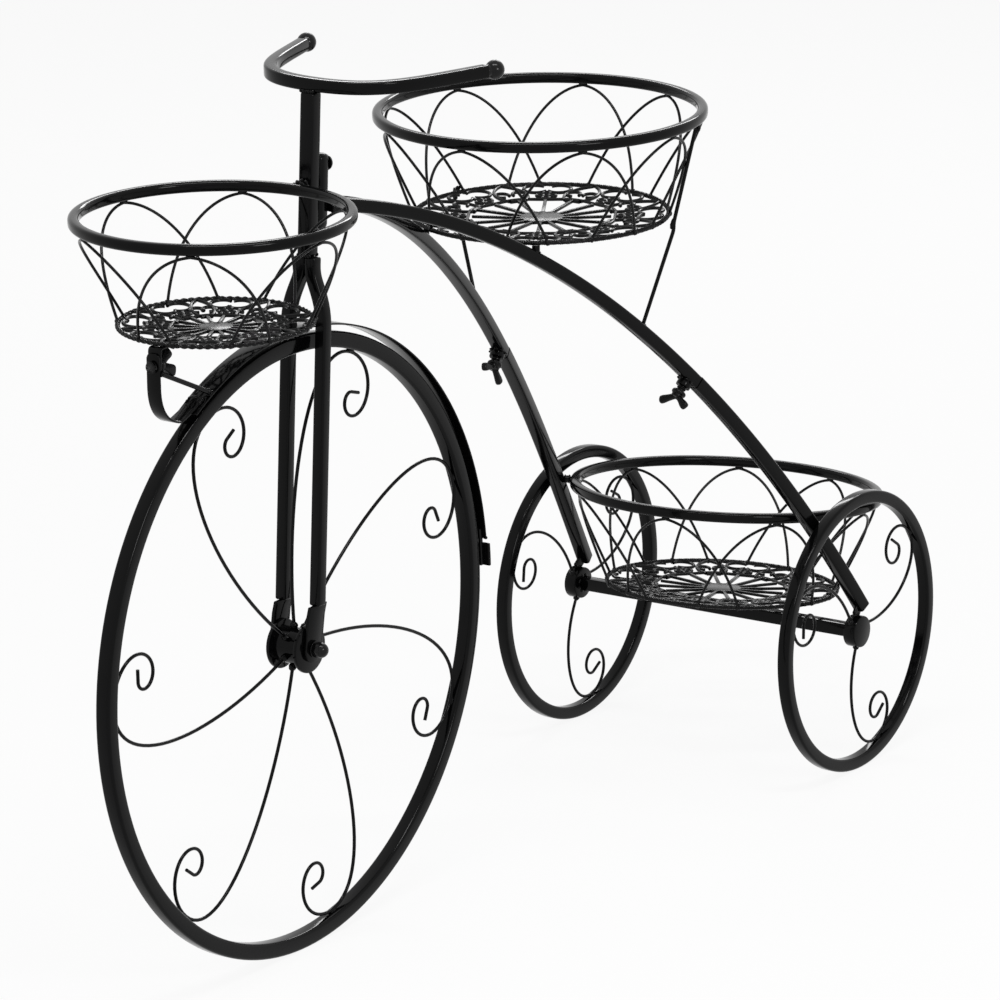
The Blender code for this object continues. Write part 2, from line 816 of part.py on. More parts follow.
def frame_bar(name, side, start, stop, half_side, count=tube_points):
    return wire(name, bezier_points(frame_ends(side), start, stop, count), half_side, 4)


insert_side = frame_tube - 2 * frame_wall - 2 * insert_slack
insert_start = frame_joint_share - insert_half_share
insert_stop = frame_joint_share + insert_half_share
wing_turn = Matrix.Rotation(math.radians(90), 4, "X")


def wings(name, half_span, rise, place):
    outline = [(x * half_span, y * rise) for x, y in wing_outline_shares]
    outline += [(-x * half_span, y * rise) for x, y in wing_outline_shares[-2:0:-1]]
    return plate(name, outline, wing_thickness, place @ wing_turn)


for side, name in ((1, "left"), (-1, "right")):
    upper_stop = frame_joint_share - frame_joint_gap_share
    lower_start = frame_joint_share + frame_joint_gap_share
    upper = frame_bar("upper_tube_" + name, side, 0.0, upper_stop, frame_tube / 2)
    lower = frame_bar("lower_tube_" + name, side, lower_start, 1.0, lower_tube / 2)
    bore_start = insert_start - bore_extra_share
    bore_stop = insert_stop + bore_extra_share
    upper_bore = frame_tube / 2 - frame_wall
    lower_bore = insert_side / 2 + fit_gap
    past_joint = frame_joint_share + bore_extra_share
    before_joint = frame_joint_share - bore_extra_share
    cut(upper, frame_bar("upper_bore_" + name, side, bore_start, past_joint, upper_bore, 5))
    cut(lower, frame_bar("lower_bore_" + name, side, before_joint, bore_stop, lower_bore, 5))
    frame_bar("joint_insert_" + name, side, insert_start, insert_stop, insert_side / 2, 7)

    joint = bezier(frame_ends(side), frame_joint_share)
    along = frame_direction(side, frame_joint_share)
    lean = Vector((side * wing_lean_x_share, wing_lean_y_share, wing_lean_z_share))
    lean = (lean - along * lean.dot(along)).normalized()
    seat = joint - along * wing_bolt_back
    bolt_place = aim(seat, lean, along.cross(lean))
    nut_root = frame_tube / 2 - frame_wall / 2
    nut_top = frame_tube / 2 + weld_nut_height
    weld_nut = pin(
        "weld_nut_" + name, weld_nut_radius, nut_top - nut_root,
        bolt_place @ Matrix.Translation((0.0, 0.0, (nut_top + nut_root) / 2)),
    )
    cut(upper, weld_nut, "UNION")
    shank_hole = pin(
        "wing_bolt_hole_" + name, wing_shank_radius + wing_clearance, nut_top + cut_overrun,
        bolt_place @ Matrix.Translation((0.0, 0.0, (nut_top + cut_overrun) / 2)),
    )
    cut(upper, shank_hole)

    shank_tip = insert_side / 2 + fit_gap
    neck_top = nut_top + fit_gap + wing_neck_length
    shank_length = neck_top - shank_tip + fit_gap
    shank_place = bolt_place @ Matrix.Translation((0.0, 0.0, shank_tip + shank_length / 2))
    shank = pin("wing_shank_" + name, wing_shank_radius, shank_length, shank_place)
    hub_place = bolt_place @ Matrix.Translation((0.0, 0.0, neck_top + wing_hub_height / 2))
    bolt = pin("wing_bolt_" + name, wing_hub_radius, wing_hub_height, hub_place)
    vane_place = bolt_place @ Matrix.Translation((0.0, 0.0, neck_top + wing_thickness))
    fuse(bolt, [shank, wings("wing_vane_" + name, wing_half_span, wing_rise, vane_place)])

    foot = bezier(frame_ends(side), 1.0)
    hub_top = Vector((side * rear_half_track, rear_axle_y, rear_axle_z + rear_hub_radius))
    end_direction = frame_direction(side, 1.0 - frame_joint_gap_share)
    tab_top = foot - end_direction * hub_tab_overlap
    tab_axis = tab_top - hub_top
    hub_tab = box(
        "hub_tab_" + name, (hub_tab_thickness, hub_tab_width, tab_axis.length),
        aim(hub_top + tab_axis / 2, tab_axis),
    )
    cut(lower, hub_tab, "UNION")
    hub_clear = pin(
        "hub_clearance_" + name, rear_hub_radius + fit_gap, rear_hub_length + lower_tube,
        Matrix.Translation((side * rear_half_track, rear_axle_y, rear_axle_z)) @ wheel_turn, hub_steps,
    )
    cut(lower, hub_clear)

# Rods and posts between the baskets and the frame.
tube_clear = frame_tube / 2 + fit_gap
tie_clear = lower_tube / 2 + fit_gap
for side, name in ((1, "left"), (-1, "right")):
    turn = math.radians(basket_leg_turn_deg)
    ray = Vector((side * math.cos(turn), math.sin(turn), 0.0))
    centre = Vector((0.0, top_y, top_z))
    leg_top = centre + ray * basket_leg_top_out - z_axis * basket_leg_top_drop
    leg_bend = centre + ray * basket_leg_hoop_out - z_axis * basket_leg_hoop_drop
    leg_foot = bezier(frame_ends(side), basket_leg_share)
    leg = wire("top_basket_leg_" + name, [leg_top, leg_bend, leg_foot], basket_leg_wire / 2, 8)
    reach = rod_clearance_share
    leg_cutter = frame_bar(
        "leg_clearance_" + name, side, basket_leg_share - reach, basket_leg_share + reach, tube_clear, 5,
    )
    cut(smooth(leg), leg_cutter)

    post_foot = bezier(frame_ends(side), basket_post_share)
    hoop_under = top_z - top_depth - fit_gap
    ray = Vector((post_foot.x, post_foot.y - top_y, 0.0)).normalized()
    post_at = Vector((0.0, top_y, 0.0)) + ray * (top_floor_radius - floor_wire / 2)
    post_length = hoop_under - post_foot.z
    post = pin(
        "top_basket_post_" + name, basket_post_radius, post_length,
        Matrix.Translation((post_at.x, post_at.y, post_foot.z + post_length / 2)),
    )
    post_cutter = frame_bar(
        "post_clearance_" + name, side, basket_post_share - reach, basket_post_share + reach, tube_clear, 5,
    )
    cut(post, post_cutter)

    turn = math.radians(low_tie_turn_deg)
    ray = Vector((side * math.cos(turn), math.sin(turn), 0.0))
    tie_inner = low_ring_radius + fit_gap
    tie_outer = tie_inner + lower_tube
    tie_place = low_place @ aim(ray * (tie_inner + tie_outer) / 2 - z_axis * basket_tube / 2, ray, z_axis)
    tie = pin("low_basket_tie_" + name, low_tie_radius, tie_outer - tie_inner, tie_place)
    tie_cutter = frame_bar(
        "tie_clearance_" + name, side, tie_clearance_start_share, tie_clearance_stop_share, tie_clear, 5,
    )
    cut(tie, tie_cutter)

# Front basket fittings.
ring_rear = front_y + front_ring_radius
spacer_z = front_z - basket_tube / 2
stem_s = (spacer_z - front_axle_z) / math.cos(rake)
stem_face = on_fork(stem_s, 0.0, -stem_tube / 2).y
spacer_end = stem_face - fit_gap - ring_spacer_radius * math.tan(rake)
spacer_start = ring_rear + fit_gap
pin(
    "ring_spacer", ring_spacer_radius, spacer_end - spacer_start,
    aim(Vector((0.0, (spacer_start + spacer_end) / 2, spacer_z)), y_axis),
)

# Local X of a strip place points to the rear, local Y up, local Z to the left.
strip_place = wheel_turn
strip_radius = fender_middle + fender_thickness / 2 + fit_gap + bracket_thickness / 2
bracket_path = [
    (bracket_y, bracket_top_z), (bracket_y, bracket_bend_z),
]
for back_share, down_share in bracket_curve_shares:
    y = bracket_y + (bracket_low_y - bracket_y) * back_share
    z = bracket_bend_z + (bracket_low_z - bracket_bend_z) * down_share
    bracket_path.append((y, z))
bracket_path.append((bracket_low_y, bracket_low_z))
for index in range(3):
    angle = fender_front_deg + (bracket_end_deg - fender_front_deg) * index / 2
    at = polar(strip_radius, angle)
    bracket_path.append((at.x, at.y + front_axle_z))
bracket_outline = strip_outline(bracket_path, bracket_thickness)
bracket = plate("basket_bracket", bracket_outline, bracket_width, strip_place)

tab_y = bracket_y - bracket_thickness / 2 - fit_gap - tab_plate_thickness / 2
tab_z = front_z - front_depth - fit_gap - tab_plate_thickness / 2
tab_path = [(tab_y, tab_z - tab_plate_drop), (tab_y, tab_z), (tab_y + tab_plate_length, tab_z)]
basket_tab = plate("basket_tab", strip_outline(tab_path, tab_plate_thickness), tab_plate_width, strip_place)

bolt_at = Vector((0.0, tab_y, basket_bolt_z))
for holed in (bracket, basket_tab):
    hole_place = aim(bolt_at, y_axis)
    hole_radius = basket_bolt_radius + wing_clearance
    hole_length = 2 * (tab_plate_thickness + bracket_thickness + cut_overrun)
    cut(holed, pin(holed.name + "_hole", hole_radius, hole_length, hole_place))
head_y = tab_y - tab_plate_thickness / 2 - fit_gap
nut_start = bracket_y + bracket_thickness / 2 + fit_gap
shank_end = nut_start + nut_hub_height + basket_bolt_tail
shank_root = head_y - fit_gap
shank_length = shank_end - shank_root
shank_middle = Vector((0.0, (shank_root + shank_end) / 2, basket_bolt_z))
basket_bolt = pin("basket_bolt", basket_bolt_radius, shank_length, aim(shank_middle, y_axis))
head_at = Vector((0.0, head_y, basket_bolt_z))
bolt_head = dome("basket_bolt_head", basket_bolt_head, basket_bolt_dome, aim(head_at, -y_axis))
cut(basket_bolt, bolt_head, "UNION")
nut_place = aim(Vector((0.0, nut_start, basket_bolt_z)), y_axis)
nut_middle = nut_place @ Matrix.Translation((0.0, 0.0, nut_hub_height / 2))
nut = pin("basket_wing_nut", wing_hub_radius, nut_hub_height, nut_middle)
vane_start = nut_hub_height - nut_wing_rise * nut_wing_overlap_share
vane_place = nut_place @ Matrix.Translation((0.0, 0.0, vane_start))
cut(nut, wings("basket_nut_vane", nut_wing_half_span, nut_wing_rise, vane_place), "UNION")
nut_hole_length = nut_hub_height + nut_wing_rise + 2 * cut_overrun
nut_hole_place = nut_place @ Matrix.Translation((0.0, 0.0, nut_hole_length / 2 - cut_overrun))
cut(nut, pin("basket_nut_hole", basket_bolt_radius + wing_clearance, nut_hole_length, nut_hole_place))

strut_foot = polar(fender_middle + fender_thickness / 2 + fit_gap, strut_foot_deg)
foot_at = Vector((0.0, strut_foot.x, strut_foot.y + front_axle_z))
foot_up = Vector((0.0, strut_foot.x, strut_foot.y)).normalized()
strut = pin(
    "bracket_strut", strut_boss_radius, strut_boss_height,
    aim(foot_at + foot_up * strut_boss_height / 2, foot_up),
)
wire_top = Vector((0.0, bracket_y + bracket_thickness / 2 + 2 * fit_gap, strut_top_z))
strut_bar = wire("strut_bar", [wire_top, foot_at + foot_up * strut_boss_height / 2], strut_wire / 2, 8)
cut(strut, strut_bar, "UNION")

for piece in part_collection.objects:
    if piece.type == "MESH" and piece.name.startswith(("stem", "frame_head", "fender_tab")):
        smooth(piece)
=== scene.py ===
import math

import bpy
from mathutils import Matrix, Vector, noise


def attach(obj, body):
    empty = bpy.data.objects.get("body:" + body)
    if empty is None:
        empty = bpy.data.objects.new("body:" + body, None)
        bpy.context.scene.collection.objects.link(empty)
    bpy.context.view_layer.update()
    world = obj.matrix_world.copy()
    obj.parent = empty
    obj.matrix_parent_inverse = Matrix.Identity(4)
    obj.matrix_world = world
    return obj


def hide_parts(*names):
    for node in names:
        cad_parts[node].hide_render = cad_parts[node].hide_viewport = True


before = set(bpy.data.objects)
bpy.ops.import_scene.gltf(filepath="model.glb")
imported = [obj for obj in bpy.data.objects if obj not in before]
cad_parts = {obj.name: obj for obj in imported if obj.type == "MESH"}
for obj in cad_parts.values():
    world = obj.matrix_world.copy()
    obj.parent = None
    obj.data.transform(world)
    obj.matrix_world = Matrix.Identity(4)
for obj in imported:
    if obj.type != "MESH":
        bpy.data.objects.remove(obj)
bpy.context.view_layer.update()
print("stage: frame loaded")

xDir = Vector((1.0, 0.0, 0.0))
yDir = Vector((0.0, 1.0, 0.0))
zDir = Vector((0.0, 0.0, 1.0))
unplaced = Matrix.Identity(4)
# wheel axes: local X to the rear, local Y up, local Z to the stand's left
wheelTurn = Matrix((yDir, zDir, xDir)).transposed().to_4x4()
bothSides = ((1, "Left", "left"), (-1, "Right", "right"))
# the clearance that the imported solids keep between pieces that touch
seam = 0.0003


# Materials

def toLinear(hexColour):
    channels = [int(hexColour[i:i + 2], 16) / 255 for i in (1, 3, 5)]
    return [c / 12.92 if c <= 0.04045 else ((c + 0.055) / 1.055) ** 2.4 for c in channels] + [1.0]


def addNode(tree, kind, settings=None, inputs=None):
    # a node with its settings, its input values and the sockets that feed it
    node = tree.nodes.new(kind)
    for key, value in (settings or {}).items():
        setattr(node, key, value)
    for key, value in (inputs or {}).items():
        if isinstance(value, bpy.types.NodeSocket):
            tree.links.new(value, node.inputs[key])
        else:
            node.inputs[key].default_value = value
    return node


def newMaterial(name):
    material = bpy.data.materials.new(name)
    material.use_nodes = True
    tree = material.node_tree
    return material, tree, tree.nodes["Principled BSDF"]


def makeCoat(name, look):
    # a melted coat: faintly rippled like orange peel, and a little uneven in gloss
    material, tree, shader = newMaterial(name)
    coords = addNode(tree, "ShaderNodeTexCoord")
    peel = addNode(tree, "ShaderNodeTexNoise", None, {
        "Vector": coords.outputs["Object"], "Scale": 1 / look["peelSize"], "Detail": 2.0, "Roughness": 0.5})
    cloud = addNode(tree, "ShaderNodeTexNoise", None, {
        "Vector": coords.outputs["Object"], "Scale": 1 / look["cloudSize"], "Detail": 3.0, "Roughness": 0.6})
    gloss = addNode(tree, "ShaderNodeMapRange", None, {
        "Value": cloud.outputs["Fac"], "From Min": 0.3, "From Max": 0.7,
        "To Min": look["roughLow"], "To Max": look["roughHigh"]})
    # sockets 6 and 7 are the two colours of a colour mix
    tone = addNode(tree, "ShaderNodeMix", {"data_type": "RGBA"}, {
        0: cloud.outputs["Fac"], 6: toLinear(look["dark"]), 7: toLinear(look["light"])})
    bump = addNode(tree, "ShaderNodeBump", None, {
        "Height": peel.outputs["Fac"], "Strength": look["peelStrength"], "Distance": look["peelHeight"]})
    tree.links.new(tone.outputs[2], shader.inputs["Base Color"])
    tree.links.new(gloss.outputs["Result"], shader.inputs["Roughness"])
    tree.links.new(bump.outputs["Normal"], shader.inputs["Normal"])
    shader.inputs["IOR"].default_value = look["ior"]
    shader.inputs["Specular IOR Level"].default_value = look["specular"]
    return material


# Tubes and plates: a deep wet black that draws long thin lights along every edge.
powderCoat = makeCoat("glossBlackPowderCoat", {
    "dark": "#040404", "light": "#080809", "peelSize": 0.0022, "peelHeight": 0.00006, "peelStrength": 0.35,
    "cloudSize": 0.030, "roughLow": 0.08, "roughHigh": 0.13, "ior": 1.5, "specular": 0.10})
# Castings and cage wire: a softer, pebbled black that breaks the light into short glints.
castCoat = makeCoat("powderCoatOnCasting", {
    "dark": "#060606", "light": "#0f0f10", "peelSize": 0.0011, "peelHeight": 0.00016, "peelStrength": 0.7,
    "cloudSize": 0.008, "roughLow": 0.14, "roughHigh": 0.22, "ior": 1.5, "specular": 0.13})
# Bolts and nuts: the sharpest gloss on the stand, with a small bright point on each crown.
boltCoat = makeCoat("glossBlackEnamelOnBolts", {
    "dark": "#060606", "light": "#0c0c0d", "peelSize": 0.0009, "peelHeight": 0.00008, "peelStrength": 0.5,
    "cloudSize": 0.006, "roughLow": 0.07, "roughHigh": 0.12, "ior": 1.52, "specular": 0.18})
# End caps of the handlebar: a slightly paler, even black with one broad soft highlight.
capPlastic = makeCoat("mouldedBlackPolyethylene", {
    "dark": "#0a0a0b", "light": "#101011", "peelSize": 0.0006, "peelHeight": 0.00002, "peelStrength": 0.4,
    "cloudSize": 0.010, "roughLow": 0.14, "roughHigh": 0.20, "ior": 1.5, "specular": 0.18})
print("stage: materials made")


# Places and paths

def shift(x, y, z):
    return Matrix.Translation((x, y, z))


def lift(z):
    return shift(0, 0, z)


def turned(axis, degrees):
    return Matrix.Rotation(math.radians(degrees), 4, axis)


def aim(at, direction, side=xDir):
    # local Z along the direction, local X as near to the side as it goes
    up = Vector(direction).normalized()
    across = (side - up * side.dot(up)).normalized()
    return Matrix.Translation(at) @ Matrix((across, up.cross(across), up)).transposed().to_4x4()


def polar(radius, degrees):
    angle = math.radians(degrees)
    return Vector((radius * math.cos(angle), radius * math.sin(angle)))


def arc(radius, start, stop, steps):
    return [polar(radius, start + (stop - start) * i / steps) for i in range(steps + 1)]


def sideRay(side, degrees):
    # a level direction on one side of the stand; degrees count from that side to the rear
    at = polar(1, degrees)
    return Vector((side * at.x, at.y, 0))


def outwards(at):
    return Vector((at.x, at.y, 0)).normalized()


def bezier(ends, t):
    a, b, c, d = ends
    return a * (1 - t) ** 3 + b * 3 * t * (1 - t) ** 2 + c * 3 * t * t * (1 - t) + d * t ** 3


def bezierPath(ends, count, start=0, stop=1):
    return [bezier(ends, start + (stop - start) * i / (count - 1)) for i in range(count)]


def roundCorners(points, radius, steps=6):
    # a path whose inner corners are turned into short arcs
    path = [Vector(points[0])]
    for before, here, after in zip(points, points[1:], points[2:]):
        here = Vector(here)
        back = Vector(before) - here
        ahead = Vector(after) - here
        reach = min(radius, back.length / 2, ahead.length / 2)
        start = here + back.normalized() * reach
        stop = here + ahead.normalized() * reach
        for i in range(steps + 1):
            t = i / steps
            path.append(start * (1 - t) ** 2 + here * 2 * t * (1 - t) + stop * t * t)
    path.append(Vector(points[-1]))
    return path


def stripOutline(path, thickness):
    # both sides of a strip of even thickness along a flat path
    left, right = [], []
    for i, here in enumerate(path):
        before = path[max(i - 1, 0)]
        after = path[min(i + 1, len(path) - 1)]
        along = (after - before).normalized()
        across = Vector((-along.y, along.x)) * thickness / 2
        left.append(here + across)
        right.append(here - across)
    return left + right[::-1]


def softenLoop(loop, rounds):
    # cuts the corners of a closed outline again and again until it runs smoothly
    for _ in range(rounds):
        cut = []
        for here, after in zip(loop, loop[1:] + loop[:1]):
            cut.append(here * 0.75 + after * 0.25)
            cut.append(here * 0.25 + after * 0.75)
        loop = cut
    return loop


def squareOutline(side, corner):
    # a square tube's outline, with five points round each corner
    half = side / 2 - corner
    outline = []
    for turn, (across, up) in enumerate(((1, 1), (-1, 1), (-1, -1), (1, -1))):
        for at in arc(corner, 90 * turn, 90 * turn + 90, 4):
            outline.append(Vector((across * half, up * half)) + at)
    return outline


# Modelling helpers

# edges sharper than bevelAngle are rounded; faces that meet flatter than smoothAngle shade as one
bevelAngle = 30
smoothAngle = 35
fineEdge = 0.0003
smallEdge = 0.0004
plainEdge = 0.0006


def deselectAll():
    bpy.ops.object.select_all(action="DESELECT")


def pickOnly(piece):
    deselectAll()
    piece.select_set(True)
    bpy.context.view_layer.objects.active = piece


def editAll():
    # into edit mode, with everything selected
    bpy.ops.object.mode_set(mode="EDIT")
    bpy.ops.mesh.select_all(action="SELECT")


def endEdit():
    bpy.ops.object.mode_set(mode="OBJECT")


def addObject(name, data):
    holder = bpy.data.objects.new(name, data)
    bpy.context.scene.collection.objects.link(holder)
    return holder


def throwAway(*pieces):
    for piece in pieces:
        bpy.data.objects.remove(piece, do_unlink=True)


def placeMesh(piece, place):
    # the place goes into the mesh, and the object stays at the origin
    piece.data.transform(piece.matrix_world)
    piece.matrix_world = unplaced
    piece.data.transform(place)
    return piece


def copyTo(source, place):
    # another one of the same, with its own mesh, set down at its place
    twin = source.copy()
    twin.data = source.data.copy()
    bpy.context.scene.collection.objects.link(twin)
    twin.data.transform(place)
    return twin


def roundEdges(piece, width, segments=2):
    bevel = piece.modifiers.new("roundEdges", "BEVEL")
    bevel.width = width
    bevel.segments = segments
    bevel.limit_method = "ANGLE"
    bevel.angle_limit = math.radians(bevelAngle)
    bpy.context.view_layer.objects.active = piece
    bpy.ops.object.modifier_apply(modifier=bevel.name)


def addRod(radius, length, place, sides, edge=0.0):
    # a round bar along its own Z, its ends broken by a small bevel
    deselectAll()
    bpy.ops.mesh.primitive_cylinder_add(vertices=sides, radius=radius, depth=length)
    piece = bpy.context.object
    if edge:
        roundEdges(piece, edge)
    return placeMesh(piece, place)


def addPost(radius, length, base, sides, edge):
    # a round bar that stands on its base
    return addRod(radius, length, base @ lift(length / 2), sides, edge)


def addBar(size, place, edge):
    deselectAll()
    bpy.ops.mesh.primitive_cube_add(size=1.0)
    piece = bpy.context.object
    bpy.ops.transform.resize(value=size)
    bpy.ops.object.transform_apply(scale=True, location=False, rotation=False)
    roundEdges(piece, edge, 3)
    return placeMesh(piece, place)


def addDome(radius, height, place, lip=0.0):
    # half a ball, pressed to its height, on a short straight lip
    deselectAll()
    bpy.ops.mesh.primitive_uv_sphere_add(segments=32, ring_count=16, radius=radius)
    piece = bpy.context.object
    editAll()
    bpy.ops.mesh.bisect(plane_co=(0, 0, 0), plane_no=(0, 0, 1), use_fill=True, clear_inner=True)
    bpy.ops.mesh.select_all(action="SELECT")
    bpy.ops.transform.resize(value=(1, 1, (height - lip) / radius))
    bpy.ops.transform.translate(value=(0, 0, lip))
    endEdit()
    if lip:
        pickOnly(piece)
        for face in piece.data.polygons:
            # only the flat underside looks straight down
            face.select = face.normal.z < -0.9
        bpy.ops.object.mode_set(mode="EDIT")
        bpy.ops.mesh.select_mode(type="FACE")
        bpy.ops.mesh.extrude_region_move(TRANSFORM_OT_translate={"value": (0, 0, -lip)})
        endEdit()
    return placeMesh(piece, place)


def addBall(radius, place, flat=1.0):
    deselectAll()
    bpy.ops.mesh.primitive_uv_sphere_add(segments=28, ring_count=18, radius=radius)
    bpy.ops.transform.resize(value=(1, 1, flat))
    bpy.ops.object.transform_apply(scale=True, location=False, rotation=False)
    return placeMesh(bpy.context.object, place)


def addTorus(major, minor, place, around, across):
    deselectAll()
    bpy.ops.mesh.primitive_torus_add(
        major_radius=major, minor_radius=minor, major_segments=around, minor_segments=across)
    return placeMesh(bpy.context.object, place)


def addPlate(outline, thickness, place, edge, segments=2):
    # a flat outline in its own XY plane, extruded to its thickness, with its edges rounded
    deselectAll()
    bpy.ops.mesh.primitive_circle_add(vertices=len(outline), radius=1.0, fill_type="NGON")
    piece = bpy.context.object
    for vertex, at in zip(piece.data.vertices, outline):
        vertex.co = (at.x, at.y, -thickness / 2)
    editAll()
    bpy.ops.mesh.extrude_region_move(TRANSFORM_OT_translate={"value": (0, 0, thickness)})
    bpy.ops.mesh.select_all(action="SELECT")
    bpy.ops.mesh.normals_make_consistent(inside=False)
    endEdit()
    roundEdges(piece, edge, segments)
    return placeMesh(piece, place)


def addSquareRing(outer, side, corner, steps, place, middle=0):
    # a rounded square section spun once round its own Z
    deselectAll()
    bpy.ops.mesh.primitive_plane_add(
        size=side, location=(outer - side / 2, 0, middle), rotation=(math.pi / 2, 0, 0))
    piece = bpy.context.object
    bpy.ops.object.transform_apply(location=True, rotation=True, scale=True)
    editAll()
    bpy.ops.mesh.bevel(offset=corner, segments=4, affect="VERTICES")
    bpy.ops.mesh.delete(type="ONLY_FACE")
    bpy.ops.mesh.select_all(action="SELECT")
    bpy.ops.mesh.spin(steps=steps, angle=2 * math.pi, center=(0, 0, 0), axis=(0, 0, 1))
    bpy.ops.mesh.select_all(action="SELECT")
    bpy.ops.mesh.remove_doubles(threshold=0.00001)
    bpy.ops.mesh.normals_make_consistent(inside=False)
    endEdit()
    return placeMesh(piece, place)


def newCurve(dimensions):
    curve = bpy.data.curves.new("line", "CURVE")
    curve.dimensions = dimensions
    return curve


def addSpline(curve, points, closed):
    spline = curve.splines.new("POLY")
    spline.points.add(len(points) - 1)
    for point, at in zip(spline.points, points):
        point.co = (*at.to_3d(), 1)
    spline.use_cyclic_u = closed
    return spline


def curveToMesh(curve, place):
    pickOnly(addObject("line", curve))
    bpy.ops.object.convert(target="MESH")
    editAll()
    bpy.ops.mesh.remove_doubles(threshold=0.000005)
    bpy.ops.mesh.normals_make_consistent(inside=False)
    endEdit()
    return placeMesh(bpy.context.object, place)


def addWires(paths, radius, sides, place=unplaced, closed=False):
    # round wire along each path, all in one piece
    curve = newCurve("3D")
    curve.bevel_depth = radius
    curve.bevel_resolution = (sides - 4) // 2
    curve.use_fill_caps = True
    for points in paths:
        addSpline(curve, points, closed)
    return curveToMesh(curve, place)


def addTube(points, outline, place=unplaced, closed=False, turns=0):
    # a bar with the given outline along the points, wound by so many turns over the whole path
    section = newCurve("2D")
    addSpline(section, outline, True)
    drawn = addObject("section", section)
    curve = newCurve("3D")
    curve.twist_mode = "Z_UP"
    curve.bevel_mode = "OBJECT"
    curve.bevel_object = drawn
    curve.use_fill_caps = True
    spline = addSpline(curve, points, closed)
    for index, point in enumerate(spline.points):
        point.tilt = 2 * math.pi * turns * index / len(points)
    piece = curveToMesh(curve, place)
    throwAway(drawn)
    return piece


def joinPieces(parts):
    deselectAll()
    for part in parts:
        part.select_set(True)
    bpy.context.view_layer.objects.active = parts[0]
    if len(parts) > 1:
        bpy.ops.object.join()
    return parts[0]


def finishPiece(name, parts, material, node, body="stand"):
    # one named piece out of its parts, smoothed and coated, that rides its body
    piece = joinPieces(parts)
    piece.name = name
    pickOnly(piece)
    bpy.ops.object.shade_smooth_by_angle(angle=math.radians(smoothAngle))
    piece.data.materials.clear()
    piece.data.materials.append(material)
    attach(piece, body)
    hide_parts(node)


# Weld beads

# grain is how fine the lumps are, depth how far they stand out, drift how far beads lie apart in the noise
weldLook = {"grain": 5, "depth": 0.22, "drift": 3.1}


def addWelds(beads, seed):
    # lumpy beads of weld: each is a place and its length, width and height along that place's axes
    lumps = []
    for index, (place, size) in enumerate(beads):
        deselectAll()
        bpy.ops.mesh.primitive_ico_sphere_add(subdivisions=3, radius=0.5)
        bead = bpy.context.object
        start = Vector((seed + index * weldLook["drift"], 0, 0))
        for vertex in bead.data.vertices:
            lump = noise.noise(vertex.co * weldLook["grain"] + start)
            vertex.co = vertex.co * (1 + weldLook["depth"] * lump)
        bead.data.transform(Matrix.Diagonal((*size, 1)))
        lumps.append(placeMesh(bead, place))
    return joinPieces(lumps)


def beadRow(middle, step, count, direction, side, size, zigzag=Vector()):
    # a straight row, in which every other bead is moved aside by the zigzag
    row = []
    for i in range(count):
        at = middle + step * (i - (count - 1) / 2) + zigzag * (i % 2)
        row.append((aim(at, direction, side), size))
    return row


def beadRing(place, radius, height, size, start=0):
    # eight beads round the place's own Z
    return [(place @ shift(*polar(radius, start + 45 * i), height), size) for i in range(8)]


# Front wheel

front = {
    "radius": 0.22968, "tube": 0.012, "corner": 0.0023, "axleHeight": 0.229685,
    "flange": 0.0183, "flangeWidth": 0.003, "flangeEdge": 0.0007, "barrel": 0.0135, "barrelInset": 0.001,
    "hubLength": 0.0268, "spokeDegrees": (117, 69.5, 21, -26, -80, -130.5, -183.5), "spokeWire": 0.0026,
    "spoke": {"root": 0.0129, "rootSide": 0.006, "reach": 0.2161, "bellyOut": 0.050, "bellyUp": 0.105,
              "shoulder": 0.0535, "curl": (0.0375, 0.0212, 0.0124, 0.0084, 0.0052), "turn": 362,
              "tip": 0.009},
}
# beads at a spoke's two ends: long and wide are in wire thicknesses, out and high in metres
spokeWeld = {
    "rootOut": 0.0012, "rootLong": 2.3, "rootWide": 1.9, "rootHigh": 0.0065,
    "rimOut": 0.0009, "rimLong": 1.5, "rimWide": 3.4, "rimHigh": 0.0024,
}
axleZ = front["axleHeight"]
axleMiddle = Vector((0, 0, axleZ))
frontPlace = lift(axleZ) @ wheelTurn
bellyPoints = 30
curlStep = 8.0


def spokePath(look):
    # a belly from hub to rim, then a scroll, its radius given at each quarter turn, and a short straight tip
    ends = [Vector((look["rootSide"], look["root"])), Vector((look["bellyOut"], look["bellyUp"])),
            Vector((look["shoulder"], look["reach"])), Vector((0, look["reach"]))]
    path = bezierPath(ends, bellyPoints)
    for i in range(int(look["turn"] / curlStep)):
        middle = (i + 0.5) * curlStep
        quarter = min(int(middle / 90), len(look["curl"]) - 2)
        share = middle / 90 - quarter
        radius = look["curl"][quarter] * (1 - share) + look["curl"][quarter + 1] * share
        path.append(path[-1] + polar(radius * math.radians(curlStep), 180 + middle))
    along = (path[-1] - path[-2]).normalized()
    path.append(path[-1] + along * look["tip"])
    return path


def makeSpoke(look, wire, hand, seed):
    # one spoke that points along X in the wheel's plane; hand says to which side its scroll turns
    points = [Vector((at.y, at.x * hand, 0)) for at in spokePath(look)]
    root, contact = points[0], points[bellyPoints - 1]
    outward = (points[1] - root).normalized()
    rimward = contact.normalized()
    rootBead = (wire * spokeWeld["rootLong"], wire * spokeWeld["rootWide"], spokeWeld["rootHigh"])
    rimBead = (wire * spokeWeld["rimLong"], wire * spokeWeld["rimWide"], spokeWeld["rimHigh"])
    welds = addWelds([(aim(root + outward * spokeWeld["rootOut"], outward, zDir), rootBead),
                      (aim(contact + rimward * spokeWeld["rimOut"], rimward, zDir), rimBead)], seed)
    return joinPieces([addWires([points], wire / 2, 12), welds])


